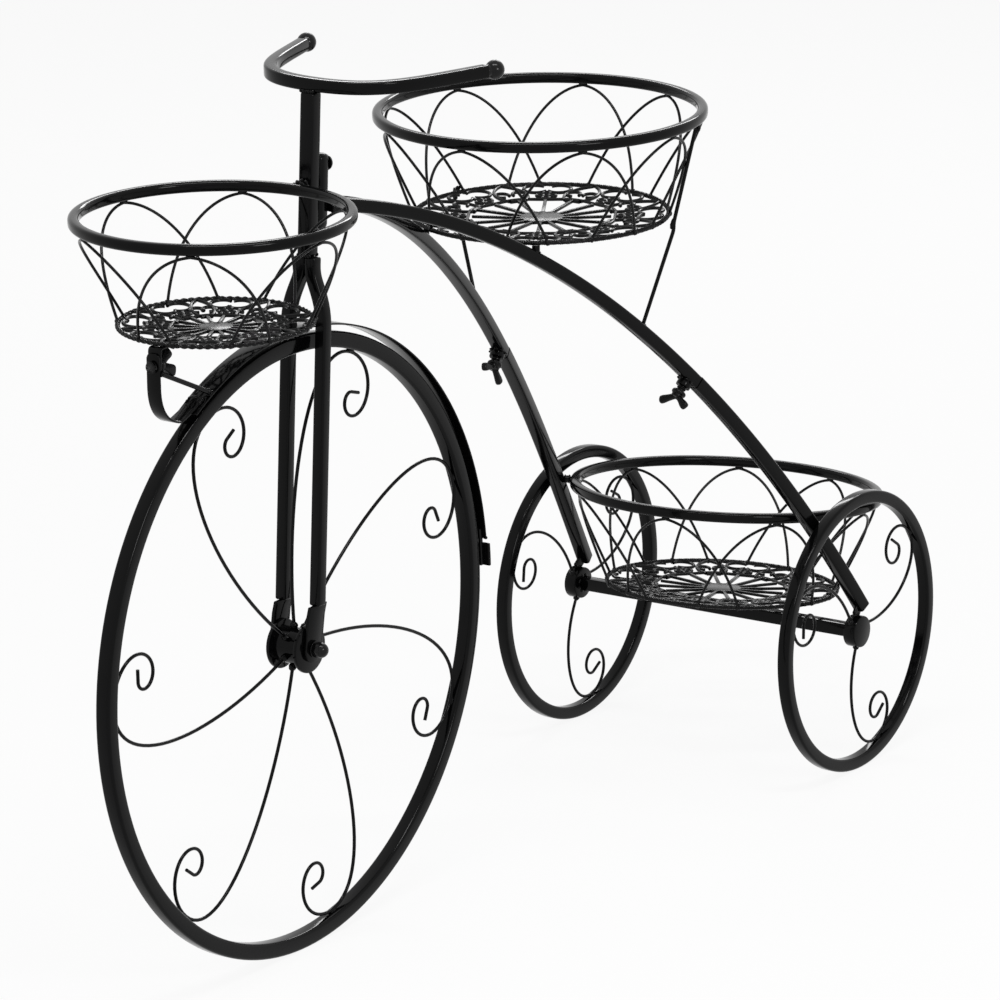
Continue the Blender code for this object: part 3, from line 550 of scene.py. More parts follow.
rim = addSquareRing(front["radius"], front["tube"], front["corner"], 180, frontPlace)
finishPiece("frontRim", [rim], powderCoat, "front_rim")
oneSpoke = makeSpoke(front["spoke"], front["spokeWire"], 1, 0)
for number, degrees in enumerate(front["spokeDegrees"], 1):
    spoke = copyTo(oneSpoke, frontPlace @ turned("Z", degrees))
    finishPiece("frontSpoke%d" % number, [spoke], powderCoat, "front_spoke_%d" % number)
throwAway(oneSpoke)

barrelLength = front["hubLength"] - 2 * front["barrelInset"]
flangeOut = (front["hubLength"] - front["flangeWidth"]) / 2
barrel = addRod(front["barrel"], barrelLength, frontPlace, 48)
flange = addRod(front["flange"], front["flangeWidth"], frontPlace @ lift(-flangeOut), 64,
                front["flangeEdge"])
otherFlange = copyTo(flange, shift(2 * flangeOut, 0, 0))
finishPiece("frontHub", [barrel, flange, otherFlange], powderCoat, "front_hub")
print("stage: front wheel")


# Fork, dropouts, axle and stem

fork = {
    "rake": 4.3, "setBack": 0.005, "legTube": 0.0092, "corner": 0.0016, "spread": 0.0152, "legBottom": 0.031,
    "shoulder": 0.247, "bend": 0.013, "crown": 0.2725, "stemBottom": 0.285, "stemTop": 0.4035,
    "stemTube": 0.0115, "stemCorner": 0.0021,
    "dropoutWidth": 0.0200, "dropoutThick": 0.003, "dropoutOverlap": 0.0006, "dropoutShares": (0.6, 0.75),
    "axleRadius": 0.003, "nutAcross": 0.0126, "nutHeight": 0.0056, "headHeight": 0.0034, "washer": 0.0012,
    "nutStep": 0.0002, "domeRadius": 0.0057, "domeHeight": 0.0058,
    "legWeld": {"up": 0.0015, "out": 0.0025, "step": 0.0017, "zigzag": 0.001,
                "bead": (0.003, 0.003, 0.0026)},
    "crownWeld": {"up": 0.0008, "back": 0.0048, "step": 0.0022, "bead": (0.0034, 0.0030, 0.0024)},
}
forkUp = Vector((0, *polar(1, 90 - fork["rake"])))
forkBack = Vector((0, forkUp.z, -forkUp.y))
forkBase = Vector((0, fork["setBack"], axleZ))
forkPlace = Matrix.Translation(forkBase) @ Matrix((xDir, forkUp, -forkBack)).transposed().to_4x4()


def onFork(height, out=0.0, back=0.0):
    return forkBase + forkUp * height + xDir * out + forkBack * back


def stemWelds(height, weld, seed):
    # a row of beads before the stem and one behind it
    beads = []
    for side in (1, -1):
        beads += beadRow(onFork(height + weld["up"], 0, side * weld["back"]), xDir * weld["step"], 5,
                         forkBack, xDir, weld["bead"])
    return addWelds(beads, seed)


# the dropout: a half round below the axle, a waist, and a top that is set back with the fork's rake
dropoutTop = onFork(fork["legBottom"] + fork["dropoutOverlap"])
half = fork["dropoutWidth"] / 2
rise = dropoutTop.z - axleZ
waistBack = dropoutTop.y * fork["dropoutShares"][0]
waistRise = rise * fork["dropoutShares"][1]
outline = arc(half, -180, 0, 12) + [
    Vector((half + waistBack, waistRise)), Vector((dropoutTop.y + half, rise)),
    Vector((dropoutTop.y - half, rise)), Vector((waistBack - half, waistRise))]
oneDropout = addPlate(outline, fork["dropoutThick"], frontPlace, plainEdge)
for side, name, end in bothSides:
    crownOut = side * (fork["legTube"] + seam) / 2
    corners = [(side * fork["spread"], fork["legBottom"]), (side * fork["spread"], fork["shoulder"]),
               (crownOut, fork["crown"]), (crownOut, fork["stemBottom"] - seam)]
    leg = addPlate(stripOutline(roundCorners(corners, fork["bend"]), fork["legTube"]), fork["legTube"],
                   forkPlace, fork["corner"], 3)
    weld = fork["legWeld"]
    middle = onFork(fork["legBottom"] + weld["up"], side * (fork["spread"] + weld["out"]))
    beads = beadRow(middle, forkBack * weld["step"], 5, xDir, yDir, weld["bead"], forkUp * weld["zigzag"])
    finishPiece("forkLeg" + name, [leg, addWelds(beads, 7 + side)], powderCoat, "fork_leg_" + end)
    dropout = copyTo(oneDropout, shift(side * fork["spread"], 0, 0))
    finishPiece("dropout" + name, [dropout], powderCoat, "dropout_" + end)
throwAway(oneDropout)

plateFace = fork["spread"] + fork["dropoutThick"] / 2
axleBolt = addRod(fork["axleRadius"], 2 * plateFace + fork["headHeight"], frontPlace, 24, smallEdge)
finishPiece("frontAxleBolt", [axleBolt], boltCoat, "front_axle_bolt")
for side, name, end in bothSides:
    nutPlace = aim(Vector((side * (plateFace + seam), 0, axleZ)), xDir * side, zDir)
    # a cap nut on the left, the bolt's low head on the right
    height = fork["nutHeight"] if side > 0 else fork["headHeight"]
    washer = addPost(fork["nutAcross"] / 2, fork["washer"], nutPlace, 40, fineEdge)
    hexagon = addPost(fork["nutAcross"] / 2 - fork["nutStep"], height - fork["washer"],
                      nutPlace @ lift(fork["washer"]), 6, smallEdge)
    parts = [washer, hexagon]
    if side > 0:
        parts.append(addDome(fork["domeRadius"], fork["domeHeight"],
                             nutPlace @ lift(height - fork["nutStep"])))
    finishPiece("axleNut" + name, parts, boltCoat, "axle_nut_" + end)

stemLength = fork["stemTop"] - fork["stemBottom"]
stem = addBar((fork["stemTube"], fork["stemTube"], stemLength),
              aim(onFork(fork["stemBottom"] + stemLength / 2), forkUp), fork["stemCorner"])
finishPiece("stem", [stem, stemWelds(fork["stemBottom"], fork["crownWeld"], 3)], powderCoat, "stem")
print("stage: fork and stem")


# Handlebar with its two end caps

bars = {
    "tube": 0.0095, "corner": 0.0018, "reach": 0.0583, "elbowOut": 0.0624, "elbowBack": 0.0404,
    "endOut": 0.0804, "endBack": 0.1019, "lean": 0.0170,
    "ball": 0.0072, "ballCentreShare": 0.80, "neck": 0.0044, "neckLength": 0.003, "neckInset": 0.002,
    "weld": {"up": 0.0006, "back": 0.0052, "step": 0.0023, "bead": (0.0032, 0.0026, 0.0022)},
}
barMiddle = onFork(fork["stemTop"]) + zDir * (fork["stemTube"] / 2 * forkUp.y + seam + bars["tube"] / 2)


def halfBar(side):
    ends = []
    for out, behind in ((0, 0), (bars["reach"], 0), (bars["elbowOut"], bars["elbowBack"]),
                        (bars["endOut"], bars["endBack"])):
        ends.append(barMiddle + Vector((side * out, behind, -side * out * bars["lean"])))
    return bezierPath(ends, 44)


bar = addTube(halfBar(-1)[:0:-1] + halfBar(1), squareOutline(bars["tube"], bars["corner"]))
finishPiece("handlebar", [bar, stemWelds(fork["stemTop"], bars["weld"], 5)], powderCoat, "handlebar")
ball = addBall(bars["ball"],
               lift(bars["neckLength"] + bars["ball"] * bars["ballCentreShare"]))
neckLength = bars["neckLength"] + bars["neckInset"]
oneCap = joinPieces([ball, addPost(bars["neck"], neckLength, unplaced, 32, fineEdge)])
for side, name, end in bothSides:
    points = halfBar(side)
    along = (points[-1] - points[-2]).normalized()
    cap = copyTo(oneCap, aim(points[-1] + along * seam, along))
    finishPiece("gripCap" + name, [cap], capPlastic, "grip_ball_" + end)
throwAway(oneCap)
print("stage: handlebar")


# Fender, its tab and rivet

fender = {
    "gap": 0.0045, "thick": 0.0013, "width": 0.0165, "front": 121, "rear": 6.0, "wheel": 0.230,
    "tabWidth": 0.0118, "tabFront": 7.8, "tabRear": 0.6, "tabEdge": 0.0008,
    "clipFront": 4.7, "clipRear": 0.4, "clipWidth": 0.0200, "clipThick": 0.0024, "clipEdge": 0.0007,
    "rivetDegrees": 7.1, "rivet": 0.0034, "rivetHeight": 0.0026, "rivetLip": 0.0005,
    "weld": {"out": 0.0006, "past": 0.2, "step": 0.0034, "bead": (0.0040, 0.0028, 0.0022)},
}
fenderMiddle = fender["wheel"] + fender["gap"] + fender["thick"] / 2
fenderFace = fenderMiddle + fender["thick"] / 2


def wheelOut(degrees):
    # the way out from the front axle; degrees count upwards from the rear
    return Vector((0, *polar(1, degrees)))


def addBand(radius, start, stop, steps, thickness, width, edge):
    # a curved strip round the front wheel
    path = arc(radius, start, stop, steps)
    return addPlate(stripOutline(path, thickness), width, frontPlace, edge)


strip = addBand(fenderMiddle, fender["rear"], fender["front"], 90, fender["thick"], fender["width"],
                fineEdge)
finishPiece("fender", [strip], powderCoat, "fender")
tabHeight = fender["gap"] - 2 * seam
tab = addBand(fender["wheel"] + seam + tabHeight / 2, fender["tabRear"], fender["tabFront"], 16, tabHeight,
              fender["tabWidth"], fender["tabEdge"])
clip = addBand(fenderMiddle + fender["clipThick"] / 2, fender["clipRear"], fender["clipFront"], 8,
               fender["clipThick"], fender["clipWidth"], fender["clipEdge"])
weld = fender["weld"]
middle = axleMiddle + wheelOut(fender["rear"] - weld["past"]) * (fenderMiddle + weld["out"])
beads = beadRow(middle, xDir * weld["step"], 5, yDir, xDir, weld["bead"])
finishPiece("fenderTab", [tab, clip, addWelds(beads, 9)], powderCoat, "fender_tab")
rivetUp = wheelOut(fender["rivetDegrees"])
rivet = addDome(fender["rivet"], fender["rivetHeight"], aim(axleMiddle + rivetUp * fenderFace, rivetUp),
                fender["rivetLip"])
finishPiece("fenderRivet", [rivet], boltCoat, "fender_rivet")


# Bracket of the front basket and its strut

bracket = {
    "width": 0.0115, "thick": 0.0015, "y": -0.158, "top": 0.483, "bend": 0.457, "lowY": -0.135,
    "lowZ": 0.429, "endDegrees": 117, "straight": 0.004, "pulls": ((0.0005, -0.014), (0.0065, 0.0035)),
    "topRound": ((0.0, 0.55), (0.0012, 0.80), (0.0034, 0.97)), "roundReach": 0.0006,
    "weldOut": 0.0056, "weldBead": (0.004, 0.003, 0.0018),
    "strutWire": 0.0036, "strutTop": 0.4690, "topSide": 0.0050, "topBead": (0.0055, 0.0048, 0.0026),
    "strutFoot": 115.8, "footSide": 0.0068, "footBead": (0.0062, 0.0060, 0.0026),
    "heelBead": (0.0044, 0.0046, 0.0040), "topIn": 0.0006, "footIn": 0.0008, "heelIn": 0.002,
}
bracketY = bracket["y"]
# the strap bends along a curve, and the pulls say how far its two handles lie from its ends
pullDown, pullAcross = bracket["pulls"]
ends = [Vector((bracketY, bracket["bend"])),
        Vector((bracketY + pullDown[0], bracket["bend"] + pullDown[1])),
        Vector((bracketY + pullAcross[0], bracket["lowZ"] + pullAcross[1])),
        Vector((bracket["lowY"], bracket["lowZ"]))]
path = [Vector((bracketY, bracket["top"] - drop)) for drop, share in bracket["topRound"]]
path.append(Vector((bracketY, bracket["bend"] + bracket["straight"])))
path += bezierPath(ends, 16)
outer = fenderFace + seam + bracket["thick"] / 2
path += [at + Vector((0, axleZ)) for at in arc(outer, fender["front"], bracket["endDegrees"], 5)[1:]]
strap = addPlate(stripOutline(path, bracket["thick"]), bracket["width"], wheelTurn, smallEdge)
for vertex in strap.data.vertices:
    # the strap's upper end is cut round
    for drop, share in bracket["topRound"]:
        if abs(vertex.co.z - bracket["top"] + drop) < bracket["roundReach"]:
            vertex.co.x *= share
            break
beads = [(aim(Vector((side * bracket["weldOut"], *at)), xDir, yDir), bracket["weldBead"])
         for at in path[-3:-1] for side in (-1, 1)]
finishPiece("basketBracket", [strap, addWelds(beads, 11)], powderCoat, "basket_bracket")

footUp = wheelOut(bracket["strutFoot"])
footAt = axleMiddle + xDir * bracket["footSide"] + footUp * (fenderFace + seam + bracket["strutWire"] / 2)
topAt = Vector((bracket["topSide"], bracketY + bracket["thick"] / 2 + 2 * seam, bracket["strutTop"]))
along = (footAt - topAt).normalized()
beads = [(aim(topAt + along * bracket["topIn"], along), bracket["topBead"]),
         (aim(footAt - footUp * bracket["footIn"], footUp), bracket["footBead"]),
         (aim(footAt - along * bracket["heelIn"], along), bracket["heelBead"])]
strut = addWires([[topAt, footAt]], bracket["strutWire"] / 2, 14)
finishPiece("bracketStrut", [strut, addWelds(beads, 13)], powderCoat, "bracket_strut")
print("stage: fender and bracket")


# Baskets

basket = {
    "tube": 0.008, "corner": 0.0027, "sag": 0.0040, "wire": 0.0022, "hoop": 0.0034, "weave": 0.00045,
    "point": 0.12, "ropeTurn": 0.011, "ropeWide": 0.57, "footOut": 0.0006,
    "footBead": (0.0034, 0.0042, 0.0046), "topUp": 0.0007, "topBead": (0.0030, 0.0068, 0.0022),
    "ringInset": 0.00005,
}
baskets = {
    "top": {"y": 0.3270, "z": 0.5655, "ring": 0.1260, "floor": 0.0975, "depth": 0.0836,
            "arches": (-84.5, -41.5, -2.5, 34, 71, 108, 155, 193, 235), "tilt": 0.0, "floorTurn": 8.0,
            "footPast": 0.55, "rope": 0.52, "middle": 0.58},
    "low": {"y": 0.5862, "z": 0.2090, "ring": 0.1250, "floor": 0.0935, "depth": 0.0830,
            "arches": (-81, -39, 5, 41, 78, 117, 160, 196, 231), "tilt": -6.0, "floorTurn": -6.0,
            "footPast": 0.55, "rope": 0.52, "middle": 0.58},
    "front": {"y": -0.0848, "z": 0.5690, "ring": 0.1014, "floor": 0.0705, "depth": 0.0815,
              "arches": (-62.6, -3.1, 55, 114, 167, 239), "tilt": 0.0, "floorTurn": 3.0,
              "footPast": 0.40, "rope": 0.38, "middle": 0.46},
}
# disc and crossHalf are shares of the floor's radius, discNotch and rayStart of the disc's,
# shortRay, rayTip and midRipple of the middle ring's, and knobFlat of the knob's height
lace = {
    "petals": 8, "disc": 0.178, "discNotch": 0.10, "discThick": 0.0026, "barWide": 0.0026, "barThick": 0.0022,
    "rayStart": 0.85, "shortRay": 0.93, "rayTip": 0.97, "crossHalf": 0.062, "crossBack": 0.0010,
    "scroll": 0.0027, "cross": 0.0034, "midRing": 0.0026, "midRipple": 0.022, "knob": 0.0018,
    "knobFlat": 0.7, "loop": 0.0027, "loopWire": 0.0013, "rimGap": 0.0006, "petalGap": 0.0002,
    # the shares and sizes below are of the band between the middle ring and the hoop
    # a petal's side: degrees beside its own line at foot and tip, and two shares with degrees between
    "petalFoot": 7.0, "petalTip": 0.8, "petalSides": ((0.30, 14.0), (0.75, 9.0)),
    # scrolls inside and outside a petal: share, degrees aside, size, first and last angle, steps
    "scrolls": ((0.40, 5.6, 0.15, 190, -110, 14), (0.71, 16.2, 0.25, 60, -215, 18)),
    # loops of the clover between two petals: share and degrees aside
    "clover": ((0.08, 0), (0.24, -4.2), (0.24, 4.2), (0.42, 0)),
}
archSteps = 28
ropePoints = 360


def basketPlace(look):
    return shift(0, look["y"], look["z"]) @ turned("X", look["tilt"])


def hoopRadius(look):
    return look["floor"] - basket["hoop"] / 2


def hoopHeight(look):
    return basket["hoop"] / 2 - look["depth"]


def archPath(look, middle):
    # the wire leaves the hoop, passes under the ring and comes back past the middle of its neighbour
    topRadius = look["ring"] - basket["tube"] / 2
    topZ = -basket["tube"] - seam - basket["wire"] / 2
    half = 180 / len(look["arches"]) * (1 + look["footPast"])
    path = []
    for i in range(-archSteps, archSteps + 1):
        share = i / archSteps
        # a plain pointed arch: its two sides meet at the ring under a blunt angle
        drop = basket["point"] * abs(share) + (1 - basket["point"]) * share ** 2
        weave = basket["weave"] * max(-1, min(1, 2 * share))
        at = polar(topRadius + (hoopRadius(look) - topRadius) * drop + weave, middle + share * half)
        path.append(Vector((*at, topZ + (hoopHeight(look) - topZ) * drop)))
    return path


def makeCage(look):
    place = basketPlace(look)
    arches = [archPath(look, middle) for middle in look["arches"]]
    wires = addWires(arches, basket["wire"] / 2, 12, place)
    # the cast hoop looks like twisted rope: a flat section wound round its own line
    radius = hoopRadius(look)
    circle = [Vector((*at, hoopHeight(look))) for at in arc(radius, 0, 360, ropePoints)[:-1]]
    wide = basket["hoop"] * basket["ropeWide"]
    flat = basket["hoop"] * look["rope"]
    section = [Vector((wide * at.x, flat * at.y)) for at in arc(1, 0, 360, 14)[:-1]]
    hoop = addTube(circle, section, place, True, round(2 * math.pi * radius / basket["ropeTurn"]))
    beads = []
    for path in arches:
        for foot, before in ((path[0], path[1]), (path[-1], path[-2])):
            out = outwards(foot)
            at = foot + out * basket["footOut"]
            beads.append((place @ aim(at, foot - before, out), basket["footBead"]))
    for path in arches:
        top = path[archSteps]
        beads.append((place @ aim(top + zDir * basket["topUp"], zDir, outwards(top)), basket["topBead"]))
    return [wires, hoop, addWelds(beads, len(look["arches"]))]


def makeBasketFloor(look):
    # a cast filigree: notched disc, sixteen rays, lotus petals, paired scrolls and clover knots
    place = basketPlace(look) @ lift(hoopHeight(look)) @ turned("Z", look["floorTurn"])
    disc = lace["disc"] * look["floor"]
    middle = look["middle"] * look["floor"]
    free = look["floor"] - basket["hoop"] - lace["rimGap"]
    band = free - middle
    petals = lace["petals"]
    notched = []
    for i in range(96):
        turn = 360 * i / 96
        notch = lace["discNotch"] * (1 - abs(polar(1, petals * turn).x))
        notched.append(polar(disc * (1 - notch), turn))
    pieces = [addPlate(notched, lace["discThick"], place, fineEdge)]

    oneKnob = addBall(lace["knob"], unplaced, lace["knobFlat"])
    oneLoop = addTorus(lace["loop"], lace["loopWire"], unplaced, 20, 8)
    rays = []
    start = disc * lace["rayStart"]
    for stop in (middle, middle * lace["shortRay"]):
        rays.append(addBar((stop - start, lace["barWide"], lace["barThick"]),
                           shift((stop + start) / 2, 0, 0), smallEdge))
    for i in range(2 * petals):
        pieces.append(copyTo(rays[i % 2], place @ turned("Z", 180 / petals * i)))

    crosses, curls = [], []
    for i in range(petals):
        spin = 360 / petals * i
        # every long ray ends in a small bar across and a knob
        tip = polar(middle * lace["rayTip"], spin)
        across = polar(look["floor"] * lace["crossHalf"], spin + 90)
        back = polar(lace["crossBack"], spin)
        crosses.append([tip - across - back, tip, tip + across - back])
        pieces.append(copyTo(oneKnob, place @ shift(*tip, 0)))
        # lotus petal: two arcs that meet in a point near the hoop, over a long ray
        for hand in (1, -1):
            petal = [polar(middle * lace["rayTip"], spin + hand * lace["petalFoot"])]
            for share, aside in lace["petalSides"]:
                petal.append(polar(middle + band * share, spin + hand * aside))
            petal.append(polar(free - lace["petalGap"], spin + hand * lace["petalTip"]))
            curls.append(bezierPath(petal, 14))
            for share, aside, size, first, last, steps in lace["scrolls"]:
                centre = polar(middle + band * share, spin + hand * aside)
                curl = arc(band * size, spin + hand * first, spin + hand * last, steps)
                curls.append([centre + at for at in curl])
        for share, aside in lace["clover"]:
            at = polar(middle + band * share, spin + 180 / petals + aside)
            pieces.append(copyTo(oneLoop, place @ shift(*at, 0)))
    ring = []
    for i in range(128):
        turn = 360 * i / 128
        ripple = lace["midRipple"] * polar(1, petals * turn).x
        ring.append(polar(middle * (1 + ripple), turn))
    pieces.append(addWires([ring], lace["midRing"] / 2, 8, place, True))
    pieces.append(addWires(crosses, lace["cross"] / 2, 8, place))
    pieces.append(addWires(curls, lace["scroll"] / 2, 8, place))
    throwAway(oneKnob, oneLoop, *rays)

    casting = joinPieces(pieces)
    # the casting hangs a little lower in the middle than at the hoop
    back = place.inverted()
    for vertex in casting.data.vertices:
        local = back @ vertex.co
        local.z -= basket["sag"] * max(0.0, 1 - (local.xy.length / free) ** 2)
        vertex.co = place @ local
    return casting


for key, look in baskets.items():
    ring = addSquareRing(look["ring"] - basket["ringInset"], basket["tube"], basket["corner"], 128,
                         basketPlace(look), -basket["tube"] / 2)
    finishPiece(key + "Ring", [ring], powderCoat, key + "_basket_ring")
    finishPiece(key + "Cage", makeCage(look), castCoat, key + "_basket_cage")
    finishPiece(key + "Floor", [makeBasketFloor(look)], castCoat, key + "_basket_floor")
    print("stage: %s basket" % key)


# Rear wheels, hubs and axle

rear = {
    "radius": 0.11215, "tube": 0.010, "corner": 0.0020, "track": 0.1312, "y": 0.568, "axleHeight": 0.112153,
    "hub": 0.0126, "hubLength": 0.0108, "hubEdge": 0.0010, "axleTube": 0.010, "axleEdge": 0.0013,
    "weld": {"radius": 0.0062, "in": 0.0002, "start": 20, "bead": (0.0040, 0.0034, 0.0022)},
    "wire": 0.0024, "degrees": {"Left": (37, 158, 288), "Right": (40, 154, 280)},
    "spoke": {"root": 0.0105, "rootSide": 0.004, "reach": 0.1010, "bellyOut": 0.038, "bellyUp": 0.047,
              "shoulder": 0.031, "curl": (0.0250, 0.0170, 0.0122, 0.0088, 0.0066), "turn": 384,
              "tip": 0.010},
}
oneRim = addSquareRing(rear["radius"], rear["tube"], rear["corner"], 128, unplaced)
oneHub = addRod(rear["hub"], rear["hubLength"], unplaced, 64, rear["hubEdge"])
oneSpoke = makeSpoke(rear["spoke"], rear["wire"], -1, 20)
for side, name, end in bothSides:
    place = shift(side * rear["track"], rear["y"], rear["axleHeight"]) @ wheelTurn
    finishPiece("rearRim" + name, [copyTo(oneRim, place)], powderCoat, "rear_rim_" + end)
    parts = [copyTo(oneHub, place)]
    for degrees in rear["degrees"][name]:
        parts.append(copyTo(oneSpoke, place @ turned("Z", degrees)))
    weld = rear["weld"]
    inner = -side * (rear["hubLength"] / 2 + weld["in"])
    parts.append(addWelds(beadRing(place, weld["radius"], inner, weld["bead"], weld["start"]), 31 + side))
    finishPiece("rearHub" + name, parts, powderCoat, "rear_hub_" + end)
throwAway(oneRim, oneHub, oneSpoke)
axleLength = 2 * (rear["track"] - rear["hubLength"] / 2 - seam)
axle = addBar((axleLength, rear["axleTube"], rear["axleTube"]),
              shift(0, rear["y"], rear["axleHeight"]), rear["axleEdge"])
finishPiece("rearAxleTube", [axle], powderCoat, "rear_axle_tube")
print("stage: rear wheels")


# Frame tubes, their head and the wing bolts

tubes = {
    "tube": 0.010, "lower": 0.0106, "corner": 0.0020, "joint": 0.590, "jointGap": 0.0006,
    # the points that draw the left tube's curve, from its head to its foot
    "ends": ((0.0056, 0.0463, 0.5480), (0.0520, 0.2850, 0.5050), (0.1070, 0.4560, 0.3090),
             (0.1302, 0.5768, 0.1300)),
    "headWidth": 0.012, "headDepth": 0.0115, "headEdge": 0.0038, "headLow": 0.303, "headHigh": 0.358,
    "boltAt": 0.350, "bolt": 0.006, "boltHeight": 0.0042, "boltLip": 0.0006,
    "lumpDown": 0.0022, "lumpBack": 0.0030, "lumpBead": (0.0070, 0.0060, 0.0064),
    "headWeld": {"out": 0.0035, "fore": 0.0002, "step": 0.0018, "bead": (0.0038, 0.0030, 0.0026)},
    "tabWide": 0.0085, "tabThick": 0.0026, "tabFore": 0.0022, "tabIn": 0.002, "tabPast": 0.006,
    "tabWeld": {"up": 0.0012, "step": 0.0018, "bead": (0.0036, 0.0028, 0.0024)},
}
wing = {
    "back": 0.009, "lean": (-0.153, -0.677, -0.720), "turn": {"Left": -4.0, "Right": -75.0},
    "nut": 0.0058, "nutHeight": 0.0055, "nutInset": 0.001, "beadIn": 0.0002, "beadUp": 0.0004,
    "bead": (0.0040, 0.0036, 0.0022), "shank": 0.0026, "shankEdge": 0.0002, "neck": 0.0045,
    "collarOut": 0.0002, "collar": 0.0009, "collarUp": 0.0016, "skirtIn": 0.0006, "skirt": 0.0019,
    "skirtUp": 0.0008, "hub": 0.0045, "hubHeight": 0.0054, "hubEdge": 0.0011, "wingUp": 0.0030,
    "spread": 60.0, "paddle": 0.0154, "wide": 0.0068, "thick": 0.0044,
}
# a paddle's outline, in shares of its length and width, and its rounding, in shares of its thickness
paddleShares = ((0.0, -0.30), (0.45, -0.34), (0.80, -0.50), (1.0, -0.40), (1.0, 0.40), (0.80, 0.50),
                (0.45, 0.34), (0.0, 0.30))
paddleEdge = 0.45


def frameEnds(side):
    return [Vector((side * x, y, z)) for x, y, z in tubes["ends"]]


def framePoint(side, t):
    return bezier(frameEnds(side), t)


def frameAlong(side, t):
    step = tubes["jointGap"]
    return (framePoint(side, t + step) - framePoint(side, t - step)).normalized()


def makeWings(look, place):
    # two cast paddles that lean apart from the hub, each wider and rounder towards its tip
    outline = [Vector((x * look["paddle"], y * look["wide"])) for x, y in paddleShares]
    paddle = addPlate(softenLoop(outline, 2), look["thick"], turned("X", 90), look["thick"] * paddleEdge, 4)
    leans = (look["spread"] - 90, 270 - look["spread"])
    wings = joinPieces([copyTo(paddle, place @ turned("Y", lean)) for lean in leans])
    throwAway(paddle)
    return wings


headFore = fork["stemTube"] / 2 + seam
headMiddle = onFork((tubes["headLow"] + tubes["headHigh"]) / 2, 0, headFore + tubes["headDepth"] / 2)
headSize = (tubes["headWidth"], tubes["headDepth"], tubes["headHigh"] - tubes["headLow"])
head = addBar(headSize, aim(headMiddle, forkUp), tubes["headEdge"])
lumpAt = onFork(tubes["headHigh"] - tubes["lumpDown"], 0, fork["stemTube"] / 2 + tubes["lumpBack"])
beads = [(aim(lumpAt, forkBack), tubes["lumpBead"])]
weld = tubes["headWeld"]
for side in (1, -1):
    middle = framePoint(side, 0) + Vector((side * weld["out"], -weld["fore"], 0))
    beads += beadRow(middle, zDir * -weld["step"], 6, yDir, xDir, weld["bead"])
finishPiece("frameHead", [head, addWelds(beads, 17)], powderCoat, "frame_head")
boltSeat = onFork(tubes["boltAt"], 0, headFore + tubes["headDepth"] + seam)
headBolt = addDome(tubes["bolt"], tubes["boltHeight"], aim(boltSeat, forkBack), tubes["boltLip"])
finishPiece("headBolt", [headBolt], boltCoat, "head_bolt")

half = tubes["tube"] / 2
nutTop = half + wing["nutHeight"]
nutLength = wing["nutHeight"] + wing["nutInset"]
nut = addPost(wing["nut"], nutLength, lift(nutTop - nutLength), 40, plainEdge)
beads = beadRing(unplaced, wing["nut"] - wing["beadIn"], half + wing["beadUp"], wing["bead"])
oneNut = joinPieces([nut, addWelds(beads, 41)])

neckTop = nutTop + seam + wing["neck"]
shank = addPost(wing["shank"], neckTop, unplaced, 24, wing["shankEdge"])
collar = addTorus(wing["shank"] + wing["collarOut"], wing["collar"],
                  lift(nutTop + wing["collarUp"]), 32, 10)
skirt = addTorus(wing["hub"] - wing["skirtIn"], wing["skirt"],
                 lift(neckTop + wing["skirtUp"]), 36, 12)
wingHub = addPost(wing["hub"], wing["hubHeight"], lift(neckTop), 36, wing["hubEdge"])
wings = makeWings(wing, lift(neckTop + wing["wingUp"]))
oneBolt = joinPieces([shank, collar, skirt, wingHub, wings])
for side, name, end in bothSides:
    joint = tubes["joint"]
    upper = addTube(bezierPath(frameEnds(side), 60, 0, joint - tubes["jointGap"]),
                    squareOutline(tubes["tube"], tubes["corner"]))
    lower = addTube(bezierPath(frameEnds(side), 40, joint + tubes["jointGap"], 1),
                    squareOutline(tubes["lower"], tubes["corner"]))
    along = frameAlong(side, joint)
    x, y, z = wing["lean"]
    lean = Vector((side * x, y, z))
    lean = (lean - along * lean.dot(along)).normalized()
    boltPlace = aim(framePoint(side, joint) - along * wing["back"], lean, along.cross(lean))
    upperParts = [upper, copyTo(oneNut, boltPlace)]
    finishPiece("upperTube" + name, upperParts, powderCoat, "upper_tube_" + end)

    fore = yDir * tubes["tabFore"]
    hubTop = Vector((side * rear["track"], rear["y"], rear["axleHeight"] + rear["hub"]))
    hubTop -= fore
    tabTop = framePoint(side, 1) - frameAlong(side, 1 - tubes["jointGap"]) * tubes["tabIn"] - fore
    tabAxis = tabTop - hubTop
    past = tabAxis.normalized() * tubes["tabPast"]
    hubTab = addBar((tubes["tabThick"], tubes["tabWide"], (tabAxis + past).length),
                    aim(hubTop + (tabAxis + past) / 2, tabAxis), plainEdge)
    weld = tubes["tabWeld"]
    beads = beadRow(hubTop + zDir * weld["up"], yDir * weld["step"], 5, zDir, xDir, weld["bead"])
    lowerParts = [lower, hubTab, addWelds(beads, 47 + side)]
    finishPiece("lowerTube" + name, lowerParts, powderCoat, "lower_tube_" + end)

    bolt = copyTo(oneBolt, boltPlace @ turned("Z", wing["turn"][name]))
    finishPiece("wingBolt" + name, [bolt], castCoat, "wing_bolt_" + end, "wing_bolt_" + end)
throwAway(oneNut, oneBolt)
print("stage: frame and wing bolts")


# Rods between the baskets and the frame

